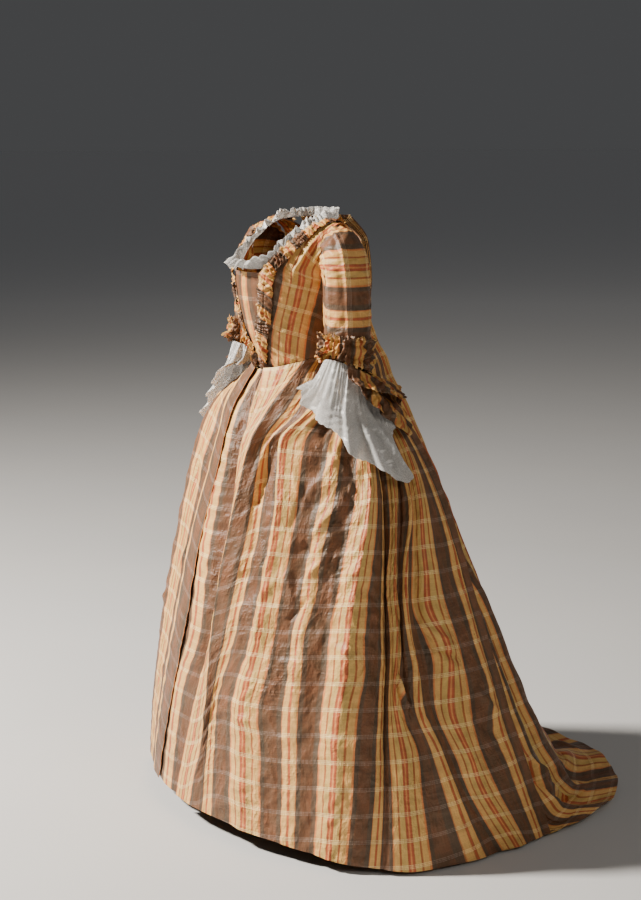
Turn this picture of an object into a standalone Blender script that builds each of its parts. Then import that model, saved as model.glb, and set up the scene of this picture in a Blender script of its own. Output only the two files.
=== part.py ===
"""Robe a la francaise: a silk gown with a sack back and train, over a matching petticoat.

The gown keeps its worn, hollow form. Every piece is a cloth wall worked out from
short tables of rings and folds. Metres, +Z up, front towards -Y, the wearer's left
at +X. Heights in the tables are measured from the floor; the origin of the part is
between the shoulder straps, where the wearer carries the gown.
"""
import math

import bpy
import numpy as np

# ---------------------------------------------------------------- driving dimensions
SHOULDER_HEIGHT = 1.405     # floor to the top of the shoulder straps
CLOTH = 0.0015              # wall of the taffeta pieces
LACE = 0.0012               # wall of the white lace
RUCHE = 0.0030              # wall of the gathered silk trims
SEAM_GAP = 0.0004           # between two pieces that are sewn edge to edge
WAIST_FRONT = 1.063         # height of the waist seam at the centre front point
WAIST_SIDE = 1.096          # and at the sides
ARMHOLE_X = 0.1605          # the armholes lie in this upright plane
ARMPIT_HEIGHT = 1.262
NECK_FRONT = 1.290          # top of the false front
STRAP_END = 1.360           # the straps meet the back panel at this height
STRAP_SEAM = 0.0008         # half the gap there, where the two walls slope differently
SIDE_SEAM = 0.0007          # half the gap at the bodice's side seams, for the same reason
ROBING_SEAM = 0.0010        # half the gap between front and false front, under the trim

TAFFETA = (0.33, 0.19, 0.11)
TAFFETA_TRIM = (0.52, 0.33, 0.14)
WHITE_LACE = (0.82, 0.82, 0.78)

# Rings of the fitted bodice.      height  half width  front depth  back depth
BODICE_RINGS = (
    (1.063, 0.1240, 0.1170, 0.0900),
    (1.100, 0.1270, 0.1280, 0.0900),
    (1.160, 0.1360, 0.1480, 0.0940),
    (1.230, 0.1510, 0.1620, 0.1000),
    (1.262, 0.1605, 0.1650, 0.1030),
    (1.290, 0.1665, 0.1640, 0.1040),
    (1.335, 0.1730, 0.1400, 0.1010),
    (1.360, 0.1750, 0.1130, 0.0930),
    (1.375, 0.1760, 0.0930, 0.0830),
    (1.395, 0.1730, 0.0460, 0.0480),
    (1.405, 0.1700, 0.0010, 0.0010),
)
# Line of the gathered trim.       height  distance from the centre front
ROBING_LINE = (
    (1.063, 0.0170),
    (1.100, 0.0230),
    (1.160, 0.0480),
    (1.220, 0.0660),
    (1.290, 0.0800),
    (1.335, 0.1040),
    (1.375, 0.1180),
    (1.405, 0.1220),
)
STRAP_INSET = 0.0160        # the strap's inner edge is this far inside the trim's line
ROBING_HALF_WIDTH = 0.0175
ROBING_LIFT = 0.0070        # outer face of the trim above the panels it lies on
ROBING_PUFF = 0.0016        # and how far its gathers rise and fall

# Rings of the skirt over its side hoops.
#    height  half width  front depth  back depth  centre to the left
SKIRT_RINGS = (
    (1.100, 0.124, 0.118, 0.120, 0.000),
    (1.065, 0.135, 0.126, 0.140, 0.001),
    (1.030, 0.185, 0.150, 0.170, 0.002),
    (0.970, 0.268, 0.190, 0.215, 0.004),
    (0.892, 0.325, 0.220, 0.275, 0.007),
    (0.780, 0.385, 0.242, 0.335, 0.011),
    (0.684, 0.415, 0.260, 0.385, 0.014),
    (0.584, 0.440, 0.280, 0.437, 0.018),
    (0.485, 0.470, 0.297, 0.490, 0.022),
    (0.384, 0.496, 0.313, 0.545, 0.026),
    (0.283, 0.522, 0.325, 0.600, 0.029),
    (0.181, 0.548, 0.335, 0.655, 0.033),
    (0.100, 0.560, 0.342, 0.700, 0.036),
    (0.000, 0.572, 0.348, 0.760, 0.040),
)
# Height of the hem above the floor. angle from the front  height
TRAIN_HEIGHT = 0.0045       # lowest the train's outer face comes to the floor
HEM_LINE = ((0, 0.044), (25, 0.042), (45, 0.031), (62, 0.017), (80, 0.008), (180, 0.005))

# Share of the skirt's length at which the fold tables give places and depths.
SKIRT_LEVELS = (0.00, 0.20, 0.57, 1.00)
SKIRT_ROWS = (0.00, 0.035, 0.085, 0.15, 0.26, 0.42, 0.60, 0.80, 1.00)
# Folds of a skirt: place across its cloth (m), angle from the front at the waist,
# hip, knee and hem (degrees), then how far the fold stands out there (mm).
LEFT_SKIRT_FOLDS = (
    (-0.115, 2, 12, 6, -6, 2, -8, -6, 4),
    (-0.020, 5, 20, 9, 3, 3, 16, 10, 6),
    (0.070, 12, 25, 18, 13, -2, -20, -8, 0),
    (0.150, 22, 37, 28, 23, 4, 20, 16, 6),
    (0.250, 32, 54, 41, 35, -3, 2, -4, -3),
    (0.310, 41, 66, 49, 43, 3, 6, 3, 0),
    (0.350, 47, 73, 54, 47, -3, -2, -3, -4),
    (0.400, 55, 80, 61, 53, 4, 12, 17, 9),
    (0.510, 65, 87, 74, 65, -3, -16, -22, -6),
    (0.620, 74, 93, 80, 77, 4, 6, 12, 11),
    (0.700, 83, 97, 85, 89, -3, -10, -14, -5),
    (0.745, 88, 100, 89, 97, 3, 5, 4, 5),
    (0.800, 92, 103, 93, 102, -3, -6, -11, -7),
    (0.870, 96, 107, 99, 107, 4, 8, 12, 12),
    (0.950, 100, 113, 106, 112, -2, 3, 2, 6),
    (1.020, 103, 118, 111, 115, 4, 10, 8, 11),
)
RIGHT_SKIRT_FOLDS = (
    (0.000, -5, -1, -11, -21, 3, 14, 8, 5),
    (0.080, -13, -12, -20, -28, -2, -15, -12, -4),
    (0.170, -23, -26, -31, -37, 4, 12, 13, 8),
    (0.270, -34, -41, -44, -47, -3, -5, -8, -4),
    (0.370, -46, -56, -56, -57, 4, 12, 14, 8),
    (0.480, -57, -68, -67, -67, -3, -14, -17, -8),
    (0.570, -68, -79, -77, -76, 4, 10, 14, 10),
    (0.680, -79, -88, -86, -85, -3, -12, -15, -7),
    (0.770, -86, -96, -94, -94, 4, 10, 12, 9),
    (0.860, -92, -104, -101, -103, -3, -8, -9, -6),
    (0.930, -97, -112, -107, -110, 3, 5, 6, 7),
    (1.010, -103, -118, -111, -115, 4, 10, 8, 11),
)
PETTICOAT_FOLDS = (
    (-0.170, -12, -11, -20, -29, -8, -28, -24, -16),
    (-0.120, -8, -5, -14, -24, -6, -5, -5, -4),
    (-0.065, -4, 2, -8, -15, -8, -14, -12, -8),
    (0.000, 0, 8, 0, -8, -9, -20, -18, -8),
    (0.060, 3, 14, 8, 2, -9, -30, -24, -10),
    (0.140, 9, 20, 12, 13, -10, -34, -24, -14),
)

# The sack back, from the neck to the end of the train.
#    share of length, centre height and depth, half width, edge depth and height, roundness
SACK_ROWS = (
    (0.000, 1.412, 0.080, 0.100, 0.045, 1.409, 0.55),
    (0.035, 1.360, 0.112, 0.118, 0.085, 1.356, 0.55),
    (0.090, 1.270, 0.124, 0.132, 0.075, 1.266, 0.60),
    (0.150, 1.160, 0.138, 0.124, 0.050, 1.156, 0.80),
    (0.205, 1.070, 0.184, 0.122, 0.040, 1.066, 0.62),
    (0.228, 1.030, 0.198, 0.152, 0.042, 1.028, 0.90),
    (0.262, 0.970, 0.222, 0.226, 0.048, 0.972, 1.25),
    (0.310, 0.892, 0.255, 0.291, 0.064, 0.895, 1.80),
    (0.380, 0.770, 0.303, 0.357, 0.082, 0.775, 1.95),
    (0.450, 0.640, 0.350, 0.392, 0.098, 0.645, 1.85),
    (0.535, 0.485, 0.404, 0.437, 0.118, 0.490, 1.30),
    (0.620, 0.330, 0.464, 0.476, 0.138, 0.335, 1.26),
    (0.700, 0.190, 0.530, 0.508, 0.158, 0.195, 1.22),
    (0.770, 0.085, 0.590, 0.524, 0.172, 0.090, 1.10),
    (0.830, 0.030, 0.630, 0.530, 0.176, 0.030, 0.95),
    (0.900, 0.014, 0.695, 0.530, 0.174, 0.014, 0.85),
    (1.000, 0.012, 0.790, 0.530, 0.172, 0.012, 0.75),
)
SACK_LEVELS = (0.000, 0.205, 0.480, 0.830, 1.000)
SACK_MESH_ROWS = (0.0, 0.035, 0.10, 0.19, 0.23, 0.28, 0.35, 0.46, 0.60, 0.73, 0.83, 1.0)
# Folds of the sack: cloth from the centre back (m), place from centre (0) to edge (1) at
# the neck, waist, knee, floor and train, then how far it stands out there (mm).
LEFT_SACK_FOLDS = (
    (0.000, 0.00, 0.00, 0.00, 0.00, 0.00, 1, 0, -14, -10, 0),
    (0.030, 0.12, 0.12, 0.09, 0.08, 0.08, 10, 12, 10, 12, 6),
    (0.110, 0.48, 0.44, 0.24, 0.22, 0.22, 12, 18, 24, 24, 12),
    (0.180, 0.62, 0.56, 0.36, 0.35, 0.35, 5, 3, -14, -6, 0),
    (0.260, 0.76, 0.70, 0.48, 0.47, 0.47, 8, 10, 18, 22, 14),
    (0.330, 0.84, 0.79, 0.58, 0.57, 0.57, 2, 3, -14, -6, 0),
    (0.410, 0.90, 0.87, 0.69, 0.68, 0.68, 4, 8, 18, 22, 12),
    (0.490, 0.94, 0.92, 0.80, 0.78, 0.78, 1, 3, -10, -4, 0),
    (0.590, 0.97, 0.96, 0.89, 0.88, 0.88, 1, 0, -3, -3, 2),
    (0.690, 1.00, 1.00, 1.00, 1.00, 1.00, 0, 0, 0, 0, 0),
)
RIGHT_SACK_FOLDS = (
    (0.035, 0.13, 0.13, 0.11, 0.10, 0.10, 10, 12, 12, 14, 8),
    (0.110, 0.48, 0.43, 0.26, 0.25, 0.25, 12, 17, 22, 22, 10),
    (0.180, 0.62, 0.55, 0.37, 0.37, 0.37, 5, 3, -12, -5, 0),
    (0.260, 0.76, 0.70, 0.50, 0.49, 0.49, 8, 10, 20, 24, 16),
    (0.340, 0.84, 0.79, 0.61, 0.60, 0.60, 2, 3, -14, -6, 0),
    (0.420, 0.90, 0.87, 0.72, 0.71, 0.71, 4, 8, 14, 18, 10),
    (0.500, 0.94, 0.92, 0.83, 0.82, 0.82, 1, 3, -8, -4, 0),
    (0.590, 0.97, 0.96, 0.91, 0.90, 0.90, 1, 0, -3, -3, 2),
    (0.680, 1.00, 1.00, 1.00, 1.00, 1.00, 0, 0, 0, 0, 0),
)

# Rings of a sleeve, from the armhole to the elbow.
#    x      y      height  half depth  half width  lean out  lean forward (degrees)
SLEEVE_RINGS = (
    (0.1612, -0.006, 1.3300, 0.0470, 0.0680, 90, 0),
    (0.1810, -0.008, 1.3235, 0.0530, 0.0690, 74, 0),
    (0.2020, -0.010, 1.3000, 0.0560, 0.0620, 54, 0),
    (0.2105, -0.012, 1.2690, 0.0560, 0.0560, 34, 0),
    (0.2145, -0.013, 1.2150, 0.0545, 0.0540, 8, 0),
    (0.2175, -0.014, 1.1650, 0.0530, 0.0535, 3, 5),
    (0.2220, -0.018, 1.1120, 0.0520, 0.0530, 3, 18),
)
CUFF_RUCHE_RINGS = (
    (0.2190, -0.015, 1.150, 0.0600, 0.0610, 3, 8),
    (0.2215, -0.018, 1.122, 0.0620, 0.0630, 3, 15),
    (0.2230, -0.023, 1.094, 0.0610, 0.0620, 3, 24),
)
# Where the elbow frills start: the centre and lean of their rings, and each one's radius.
LACE_RADIUS = 0.0430
LOWER_FLOUNCE_RADIUS = 0.0500
UPPER_FLOUNCE_RADIUS = 0.0565
FRILL_WAVE = 0.003              # half the height of the waves at their free edges
FRILL_RING = (0.2238, -0.0295, 1.0835)
FRILL_LEAN = 24
FRILL_AXIS = (0.240, 0.000)     # the frills' waves move towards and away from here (x, y)
# Edges of the elbow frills: angle round the arm from the front towards the outside
# (degrees), then the point half way down and the point at the free edge.
LACE_EDGE = (
    (-10, 0.213, -0.098, 1.052, 0.207, -0.138, 1.028),
    (8, 0.224, -0.096, 1.042, 0.226, -0.128, 0.998),
    (35, 0.248, -0.084, 1.022, 0.268, -0.112, 0.972),
    (60, 0.268, -0.066, 1.002, 0.312, -0.095, 0.945),
    (85, 0.276, -0.044, 0.990, 0.350, -0.068, 0.897),
    (108, 0.279, -0.020, 0.982, 0.380, -0.020, 0.866),
    (125, 0.279, -0.004, 0.980, 0.394, 0.018, 0.838),
    (140, 0.275, 0.007, 0.986, 0.386, 0.044, 0.858),
    (155, 0.260, 0.008, 1.000, 0.338, 0.048, 0.922),
    (175, 0.242, 0.009, 1.030, 0.278, 0.042, 0.988),
    (205, 0.218, 0.010, 1.060, 0.222, 0.022, 1.034),
    (250, 0.190, -0.020, 1.068, 0.192, -0.014, 1.048),
    (320, 0.192, -0.070, 1.062, 0.190, -0.086, 1.050),
    (350, 0.213, -0.098, 1.052, 0.207, -0.138, 1.028),
)
UPPER_FLOUNCE_EDGE = (
    (70, 0.280, -0.050, 1.066, 0.304, -0.052, 1.056),
    (95, 0.288, -0.020, 1.062, 0.318, -0.018, 1.042),
    (125, 0.288, 0.022, 1.052, 0.316, 0.044, 1.024),
    (148, 0.276, 0.046, 1.046, 0.296, 0.096, 1.008),
    (165, 0.252, 0.058, 1.048, 0.262, 0.118, 1.013),
    (188, 0.222, 0.054, 1.058, 0.220, 0.094, 1.042),
    (215, 0.196, 0.032, 1.070, 0.186, 0.052, 1.064),
)
LOWER_FLOUNCE_EDGE = (
    (85, 0.284, -0.024, 1.052, 0.298, -0.022, 1.026),
    (105, 0.291, -0.002, 1.040, 0.306, 0.004, 1.000),
    (123, 0.294, 0.020, 1.026, 0.316, 0.040, 0.966),
    (138, 0.290, 0.042, 1.010, 0.330, 0.082, 0.928),
    (152, 0.272, 0.054, 1.010, 0.312, 0.112, 0.940),
    (172, 0.242, 0.048, 1.024, 0.264, 0.104, 0.990),
    (200, 0.212, 0.037, 1.048, 0.214, 0.070, 1.036),
)

# Half of the line that the neck frill is sewn to, and the frill's section there:
# point, then how far its top, fold and free edge lie outwards and upwards (mm).
NECK_FRILL = (
    (0.000, -0.1570, 1.2960, 12, 16, 24, 22, 36, 8),
    (0.030, -0.1540, 1.2970, 10, 17, 22, 24, 34, 12),
    (0.058, -0.1420, 1.3020, 5, 16, 14, 26, 24, 24),
    (0.076, -0.1200, 1.3240, -2, 14, 0, 26, 2, 36),
    (0.088, -0.0920, 1.3540, -7, 12, -12, 24, -16, 36),
    (0.098, -0.0550, 1.3820, -8, 10, -16, 20, -24, 32),
    (0.101, -0.0200, 1.4010, -8, 10, -16, 20, -24, 30),
    (0.099, 0.0100, 1.4080, -7, 10, -13, 20, -18, 30),
    (0.087, 0.0370, 1.4110, -5, 10, -8, 20, -10, 30),
    (0.050, 0.0620, 1.4130, -3, 10, -5, 20, -6, 30),
    (0.000, 0.0690, 1.4140, -2, 10, -4, 20, -5, 30),
)


# ---------------------------------------------------------------- curves and surfaces
def along(table, column, place):
    """Smooth value of one column of a table at a place given in its first column."""
    knots = np.array([row[0] for row in table], float)
    values = np.array([row[column] for row in table], float)
    if knots[0] > knots[-1]:
        knots, values = knots[::-1], values[::-1]
    steps = np.diff(values) / np.diff(knots)
    slopes = np.zeros(len(knots))
    for index in range(1, len(knots) - 1):
        before, after = steps[index - 1], steps[index]
        if before * after > 0:
            slopes[index] = 2 * before * after / (before + after)
    slopes[0], slopes[-1] = steps[0], steps[-1]
    place = min(max(place, knots[0]), knots[-1])
    index = min(int(np.searchsorted(knots, place, side="right")) - 1, len(knots) - 2)
    width = knots[index + 1] - knots[index]
    t = (place - knots[index]) / width
    return float((1 + 2 * t) * (1 - t) ** 2 * values[index]
                 + t * (1 - t) ** 2 * width * slopes[index]
                 + t * t * (3 - 2 * t) * values[index + 1]
                 - t * t * (1 - t) * width * slopes[index + 1])


def bodice_point(side, height, x, back=False):
    """Point of the fitted bodice at a height and a distance x from its centre."""
    half_width = along(BODICE_RINGS, 1, height)
    depth = along(BODICE_RINGS, 3 if back else 2, height)
    y = depth * math.sqrt(max(0.0, 1 - (x / half_width) ** 2))
    return np.array([side * x, y if back else -y, height])


def waist_height(angle):
    """The waist seam dips to a point at the centre front."""
    dip = max(0.0, math.cos(math.radians(angle))) ** 2
    return WAIST_SIDE - (WAIST_SIDE - WAIST_FRONT) * dip


def skirt_point(angle, share):
    """Point of the smooth skirt at an angle from the front, share of the way down."""
    top = waist_height(angle) - SEAM_GAP
    height = top + share * (along(HEM_LINE, 1, abs(angle)) - top)
    half_width, front, back, shift = (along(SKIRT_RINGS, column, height) for column in (1, 2, 3, 4))
    turn = math.radians(angle)
    depth = front if math.cos(turn) > 0 else back
    return np.array([shift + half_width * math.sin(turn), -depth * math.cos(turn), height])


def sack_point(place, share):
    """Point of the smooth sack back, place from -1 (right edge) to 1 (left edge)."""
    centre_z, centre_y, half_width, edge_y, edge_z, roundness = (
        along(SACK_ROWS, column, share) for column in range(1, 7))
    turn = place * math.pi / 2
    bow = max(0.0, math.cos(turn)) ** roundness
    shift = along(SKIRT_RINGS, 4, centre_z)
    return np.array([shift + half_width * math.sin(turn), edge_y + (centre_y - edge_y) * bow,
                     edge_z + (centre_z - edge_z) * bow])


def normals_of(rows, closed):
    """Outward normals of a grid of points: rows run down, columns to the right, seen from outside."""
    if closed:
        across = np.roll(rows, -1, axis=1) - np.roll(rows, 1, axis=1)
    else:
        across = np.gradient(rows, axis=1)
    down = np.gradient(rows, axis=0)
    normals = np.cross(down, across)
    return normals / np.maximum(np.linalg.norm(normals, axis=2, keepdims=True), 1e-12)


def folded(surface, folds, levels, shares, steps):
    """Grid of points on a surface, thrown into the folds of a table.

    The columns pass through every fold and are eased between them; places and
    depths change smoothly from level to level down the cloth.
    """
    count = len(levels)
    grid, smooth = [], []
    for share in shares:
        places, depths = [], []
        for fold in folds:
            level_table = [(levels[k], fold[1 + k], fold[1 + count + k]) for k in range(count)]
            places.append(along(level_table, 1, share))
            depths.append(along(level_table, 2, share) / 1000)
        row, flat = [], []
        for index in range(len(folds) - 1):
            for step in range(steps + (index == len(folds) - 2)):
                t = step / steps
                ease = (1 - math.cos(math.pi * t)) / 2
                place = places[index] + t * (places[index + 1] - places[index])
                flat.append(surface(place, share))
                row.append(depths[index] + ease * (depths[index + 1] - depths[index]))
        smooth.append(flat)
        grid.append(row)
    smooth = np.array(smooth)
    return smooth + normals_of(smooth, False) * np.array(grid)[:, :, None]


# ---------------------------------------------------------------- making solid walls
def make_object(name, vertices, faces, colour, roughness):
    """One closed mesh with its own material, carried by the wearer's shoulders."""
    mesh = bpy.data.meshes.new(name)
    mesh.from_pydata([tuple(point) for point in vertices], [], faces)
    mesh.validate()
    mesh.shade_smooth()
    mesh.set_sharp_from_angle(angle=math.radians(60))
    material = bpy.data.materials.new(name)
    material.use_nodes = True
    shader = material.node_tree.nodes["Principled BSDF"]
    shader.inputs["Base Color"].default_value = (*colour, 1.0)
    shader.inputs["Roughness"].default_value = roughness
    shader.inputs["Metallic"].default_value = 0.0
    mesh.materials.append(material)
    piece = bpy.data.objects.new(name, mesh)
    bpy.context.collection.objects.link(piece)
    piece.parent = WEARER
    return piece


def wall(name, rows, thickness, colour, closed=False, roughness=0.45):
    """Closed wall whose outer face is a grid: rows run down, columns to the right from outside."""
    rows = np.array(rows, float)
    inner = rows - normals_of(rows, closed) * thickness
    row_count, column_count = rows.shape[:2]
    layer = row_count * column_count
    vertices = np.concatenate([rows.reshape(-1, 3), inner.reshape(-1, 3)])
    faces = []
    spans = column_count if closed else column_count - 1
    for r in range(row_count - 1):
        for c in range(spans):
            a = r * column_count + c
            b = r * column_count + (c + 1) % column_count
            low_a, low_b = a + column_count, b + column_count
            faces.append((a, low_a, low_b, b))
            faces.append((layer + a, layer + b, layer + low_b, layer + low_a))
    for c in range(spans):
        a, b = c, (c + 1) % column_count
        faces.append((a, b, layer + b, layer + a))
        a, b = a + layer - column_count, b + layer - column_count
        faces.append((b, a, layer + a, layer + b))
    if not closed:
        for r in range(row_count - 1):
            a = r * column_count
            b = a + column_count
            faces.append((b, a, layer + a, layer + b))
            a, b = a + column_count - 1, b + column_count - 1
            faces.append((a, b, layer + b, layer + a))
    return make_object(name, vertices, faces, colour, roughness)


def side_name(side):
    return "L" if side > 0 else "R"


def left_to_right(rows, side):
    """A left piece is worked from the centre outwards; its mirror runs the other way."""
    return rows if side > 0 else [row[::-1] for row in rows]


# ---------------------------------------------------------------- bodice
def make_false_front(side):
    """Half of the false front that fills the bodice and meets edge to edge at the centre."""
    rows = []
    for height in np.linspace(NECK_FRONT, WAIST_FRONT + SEAM_GAP, 8):
        edge = along(ROBING_LINE, 1, height) - ROBING_SEAM
        rows.append([bodice_point(side, height, x) for x in np.linspace(SEAM_GAP / 2, edge, 5)])
    wall("false_front_" + side_name(side), left_to_right(rows, side), CLOTH, TAFFETA)


def make_bodice_front(side):
    """Front of the bodice with its strap, from the waist over the shoulder to the back."""
    columns = 6
    rows = []
    for height in (STRAP_END + STRAP_SEAM, 1.375, 1.395):
        inner = along(ROBING_LINE, 1, height) - STRAP_INSET
        rows.append([bodice_point(side, height, x, True) for x in np.linspace(inner, ARMHOLE_X, columns)])
    inner = along(ROBING_LINE, 1, SHOULDER_HEIGHT) - STRAP_INSET
    rows.append([np.array([side * x, 0.0, SHOULDER_HEIGHT]) for x in np.linspace(inner, ARMHOLE_X, columns)])
    for height in (1.395, 1.375, 1.345, 1.315, NECK_FRONT + ROBING_SEAM):
        inset = STRAP_INSET if height > 1.30 else -ROBING_SEAM
        inner = along(ROBING_LINE, 1, height) - inset
        rows.append([bodice_point(side, height, x) for x in np.linspace(inner, ARMHOLE_X, columns)])
    panel_top = ARMPIT_HEIGHT + 0.018
    for share in (0.16, 0.34, 0.52, 0.70, 0.86, 1.0):
        row = []
        for step in np.linspace(0, 1, columns):
            waist = WAIST_SIDE
            for _ in range(6):
                height = panel_top + share * (waist + SEAM_GAP - panel_top)
                half_width = along(BODICE_RINGS, 1, height)
                trim_edge = math.asin((along(ROBING_LINE, 1, height) + ROBING_SEAM) / half_width)
                side_seam = math.asin(min(1.0, ARMHOLE_X / half_width)) - SIDE_SEAM / half_width
                turn = trim_edge + step * (side_seam - trim_edge)
                waist = waist_height(math.degrees(turn))
            row.append(bodice_point(side, height, half_width * math.sin(turn)))
        rows.append(row)
    wall("bodice_front_" + side_name(side), left_to_right(rows, side), CLOTH, TAFFETA)


def make_bodice_back():
    """Fitted back of the bodice, from side seam to side seam, under the sack."""
    rows = []
    for height in (STRAP_END - STRAP_SEAM, 1.335, 1.300, 1.262, 1.210, 1.150, WAIST_SIDE + SEAM_GAP):
        half_width = along(BODICE_RINGS, 1, height)
        side_seam = math.asin(min(1.0, ARMHOLE_X / half_width)) - SIDE_SEAM / half_width
        turns = np.linspace(side_seam, -side_seam, 12)
        rows.append([bodice_point(1, height, half_width * math.sin(turn), True) for turn in turns])
    wall("bodice_back", rows, CLOTH, TAFFETA)


def make_robing_trim(side):
    """Gathered band of silk along the neckline and down to the waist point."""
    stations = [(1.398, True), (SHOULDER_HEIGHT, False)]
    stations += [(height, False) for height in np.linspace(1.395, WAIST_FRONT + 0.002, 20)]
    rows = []
    for index, (height, back) in enumerate(stations):
        line = along(ROBING_LINE, 1, height)
        narrowing = min(1.0, 0.55 + (height - WAIST_FRONT) * 9)
        row = []
        for step in (-1.0, 0.0, 1.0):
            x = max(SEAM_GAP, line + step * ROBING_HALF_WIDTH * narrowing)
            point = bodice_point(side, height, x, back)
            width = along(BODICE_RINGS, 1, height)
            depth = max(0.02, along(BODICE_RINGS, 3 if back else 2, height))
            tilt = 8 * max(0.0, (height - 1.33) / 0.05)      # the shoulder turns to face upwards
            outward = np.array([side * x / width ** 2, point[1] / depth ** 2, tilt])
            if height > 1.40:
                outward = np.array([0.0, 0.0, 1.0])
            outward /= np.linalg.norm(outward)
            swell = ROBING_PUFF if (index % 2 == 0) == (step == 0.0) else -ROBING_PUFF
            row.append(point + outward * (ROBING_LIFT + swell))
        rows.append(row)
    wall("robing_trim_" + side_name(side), left_to_right(rows, side), RUCHE, TAFFETA_TRIM)


def make_neck_frill():
    """White lace frill round the neck opening, one closed ring."""
    samples, swell = 30, 0.002
    line = list(NECK_FRILL) + [(-row[0],) + row[1:] for row in NECK_FRILL[-2:0:-1]]
    rows = [[], [], [], []]
    for index in range(samples):
        place = index / samples * len(line)
        before, t = int(place), place - int(place)
        first, second = np.array(line[before % len(line)]), np.array(line[(before + 1) % len(line)])
        ease = t * t * (3 - 2 * t)
        mixed = first + (second - first) * t
        section = first[3:] + (second[3:] - first[3:]) * ease
        out = np.array([mixed[0], mixed[1] + 0.02, 0.0])
        out /= np.linalg.norm(out)
        wave = swell if index % 2 else -swell
        rows[0].append(mixed[:3])
        for k in range(3):
            offset = out * (section[2 * k] / 1000 + wave * (k + 1) / 3)
            rows[k + 1].append(mixed[:3] + offset + np.array([0, 0, section[2 * k + 1] / 1000]))
    wall("neck_frill", rows[::-1], LACE, WHITE_LACE, closed=True, roughness=0.8)


# ---------------------------------------------------------------- sleeves
def arm_axes(side, lean_out, lean_forward):
    """Direction down the arm, and the ring axes towards the front and the outside."""
    out, forward = math.radians(lean_out), math.radians(lean_forward)
    down = np.array([math.sin(out), -math.sin(forward) * math.cos(out),
                     -math.cos(forward) * math.cos(out)])
    front = np.array([0.0, -1.0, 0.0])
    front = front - down * front.dot(down)
    front /= np.linalg.norm(front)
    outside = np.cross(front, down)
    mirror = np.array([side, 1.0, 1.0])
    return down * mirror, front * mirror, outside * mirror


def arm_ring(side, ring, samples, swell=None):
    """Points round the arm, from the front over the outside, swelled by a repeating pattern."""
    x, y, height, half_depth, half_width, lean_out, lean_forward = ring
    front, outside = arm_axes(side, lean_out, lean_forward)[1:]
    centre = np.array([side * x, y, height])
    points = []
    for index in range(samples):
        turn = 2 * math.pi * index / samples
        grow = 1 + (swell[index % len(swell)] if swell else 0.0)
        points.append(centre + front * math.cos(turn) * half_depth * grow
                      + outside * math.sin(turn) * half_width * grow)
    return points if side > 0 else points[::-1]


def make_sleeve(side):
    """Close sleeve to the elbow."""
    numbered = [(index,) + ring for index, ring in enumerate(SLEEVE_RINGS)]
    places = np.linspace(0, len(SLEEVE_RINGS) - 1, 9)
    rows = [arm_ring(side, [along(numbered, column, place) for column in range(1, 8)], 16)
            for place in places]
    wall("sleeve_" + side_name(side), rows, CLOTH, TAFFETA, closed=True)


def make_cuff_ruche(side):
    """Gathered band of silk round the end of the sleeve."""
    rows = [arm_ring(side, ring, 20, swell) for ring, swell in
            zip(CUFF_RUCHE_RINGS, ((0.02, -0.01), (-0.01, 0.06), (0.04, -0.01)))]
    wall("cuff_ruche_" + side_name(side), rows, RUCHE, TAFFETA_TRIM, closed=True)


def frill_rows(side, table, radius, samples, swell, closed):
    """Rows of an elbow frill: the gathered ring, half way down, and the free edge."""
    front, outside = arm_axes(1, 3, FRILL_LEAN)[1:]
    rows = [[], [], [], []]
    first, last = table[0][0], table[-1][0]
    count = samples if closed else samples + 1
    for index in range(count):
        angle = first + (last - first) * index / samples
        turn = math.radians(angle)
        start = np.array(FRILL_RING) + radius * (front * math.cos(turn) + outside * math.sin(turn))
        middle = np.array([along(table, column, angle) for column in (1, 2, 3)])
        edge = np.array([along(table, column, angle) for column in (4, 5, 6)])
        radial = edge - np.array(FRILL_AXIS + (0.0,))
        radial[2] = 0.0
        radial /= np.linalg.norm(radial)
        wave = swell if index % 2 else -swell
        rows[0].append(start)
        rows[1].append(middle + radial * wave * 0.5)
        rows[2].append((middle + edge) / 2 + radial * wave * 0.8)
        rows[3].append(edge + radial * wave)
    mirror = np.array([side, 1.0, 1.0])
    rows = [[point * mirror for point in row] for row in rows]
    return left_to_right(rows, side)


def make_lace_frill(side):
    """Lace frill of the sleeve, short over the forearm and long behind the elbow."""
    rows = frill_rows(side, LACE_EDGE, LACE_RADIUS, 30, FRILL_WAVE, True)
    wall("lace_frill_" + side_name(side), rows, LACE, WHITE_LACE, closed=True, roughness=0.8)


def make_flounces(side):
    """Two pinked flounces of the gown's silk that fall behind the elbow."""
    for name, table, radius in (("flounce_upper_", UPPER_FLOUNCE_EDGE, UPPER_FLOUNCE_RADIUS),
                                ("flounce_lower_", LOWER_FLOUNCE_EDGE, LOWER_FLOUNCE_RADIUS)):
        rows = frill_rows(side, table, radius, 14, FRILL_WAVE, False)
        wall(name + side_name(side), rows, CLOTH, TAFFETA_TRIM)


# ---------------------------------------------------------------- skirts and sack
def make_skirts():
    """The gown's two skirts and the petticoat front that shows between them."""
    for name, folds in (("gown_skirt_L", LEFT_SKIRT_FOLDS), ("gown_skirt_R", RIGHT_SKIRT_FOLDS[::-1]),
                        ("petticoat_front", PETTICOAT_FOLDS)):
        rows = folded(skirt_point, folds, SKIRT_LEVELS, SKIRT_ROWS, 2)
        wall(name, rows, CLOTH, TAFFETA)


def make_sack():
    """The sack back: box pleats from the neck that open out into the train."""
    right = [(-fold[0],) + tuple(-place for place in fold[1:6]) + fold[6:] for fold in RIGHT_SACK_FOLDS]
    folds = list(LEFT_SACK_FOLDS[::-1]) + right
    rows = folded(sack_point, folds, SACK_LEVELS, SACK_MESH_ROWS, 2)
    rows[:, :, 2] = np.maximum(rows[:, :, 2], TRAIN_HEIGHT)
    wall("sack_back", rows, CLOTH, TAFFETA)


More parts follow.
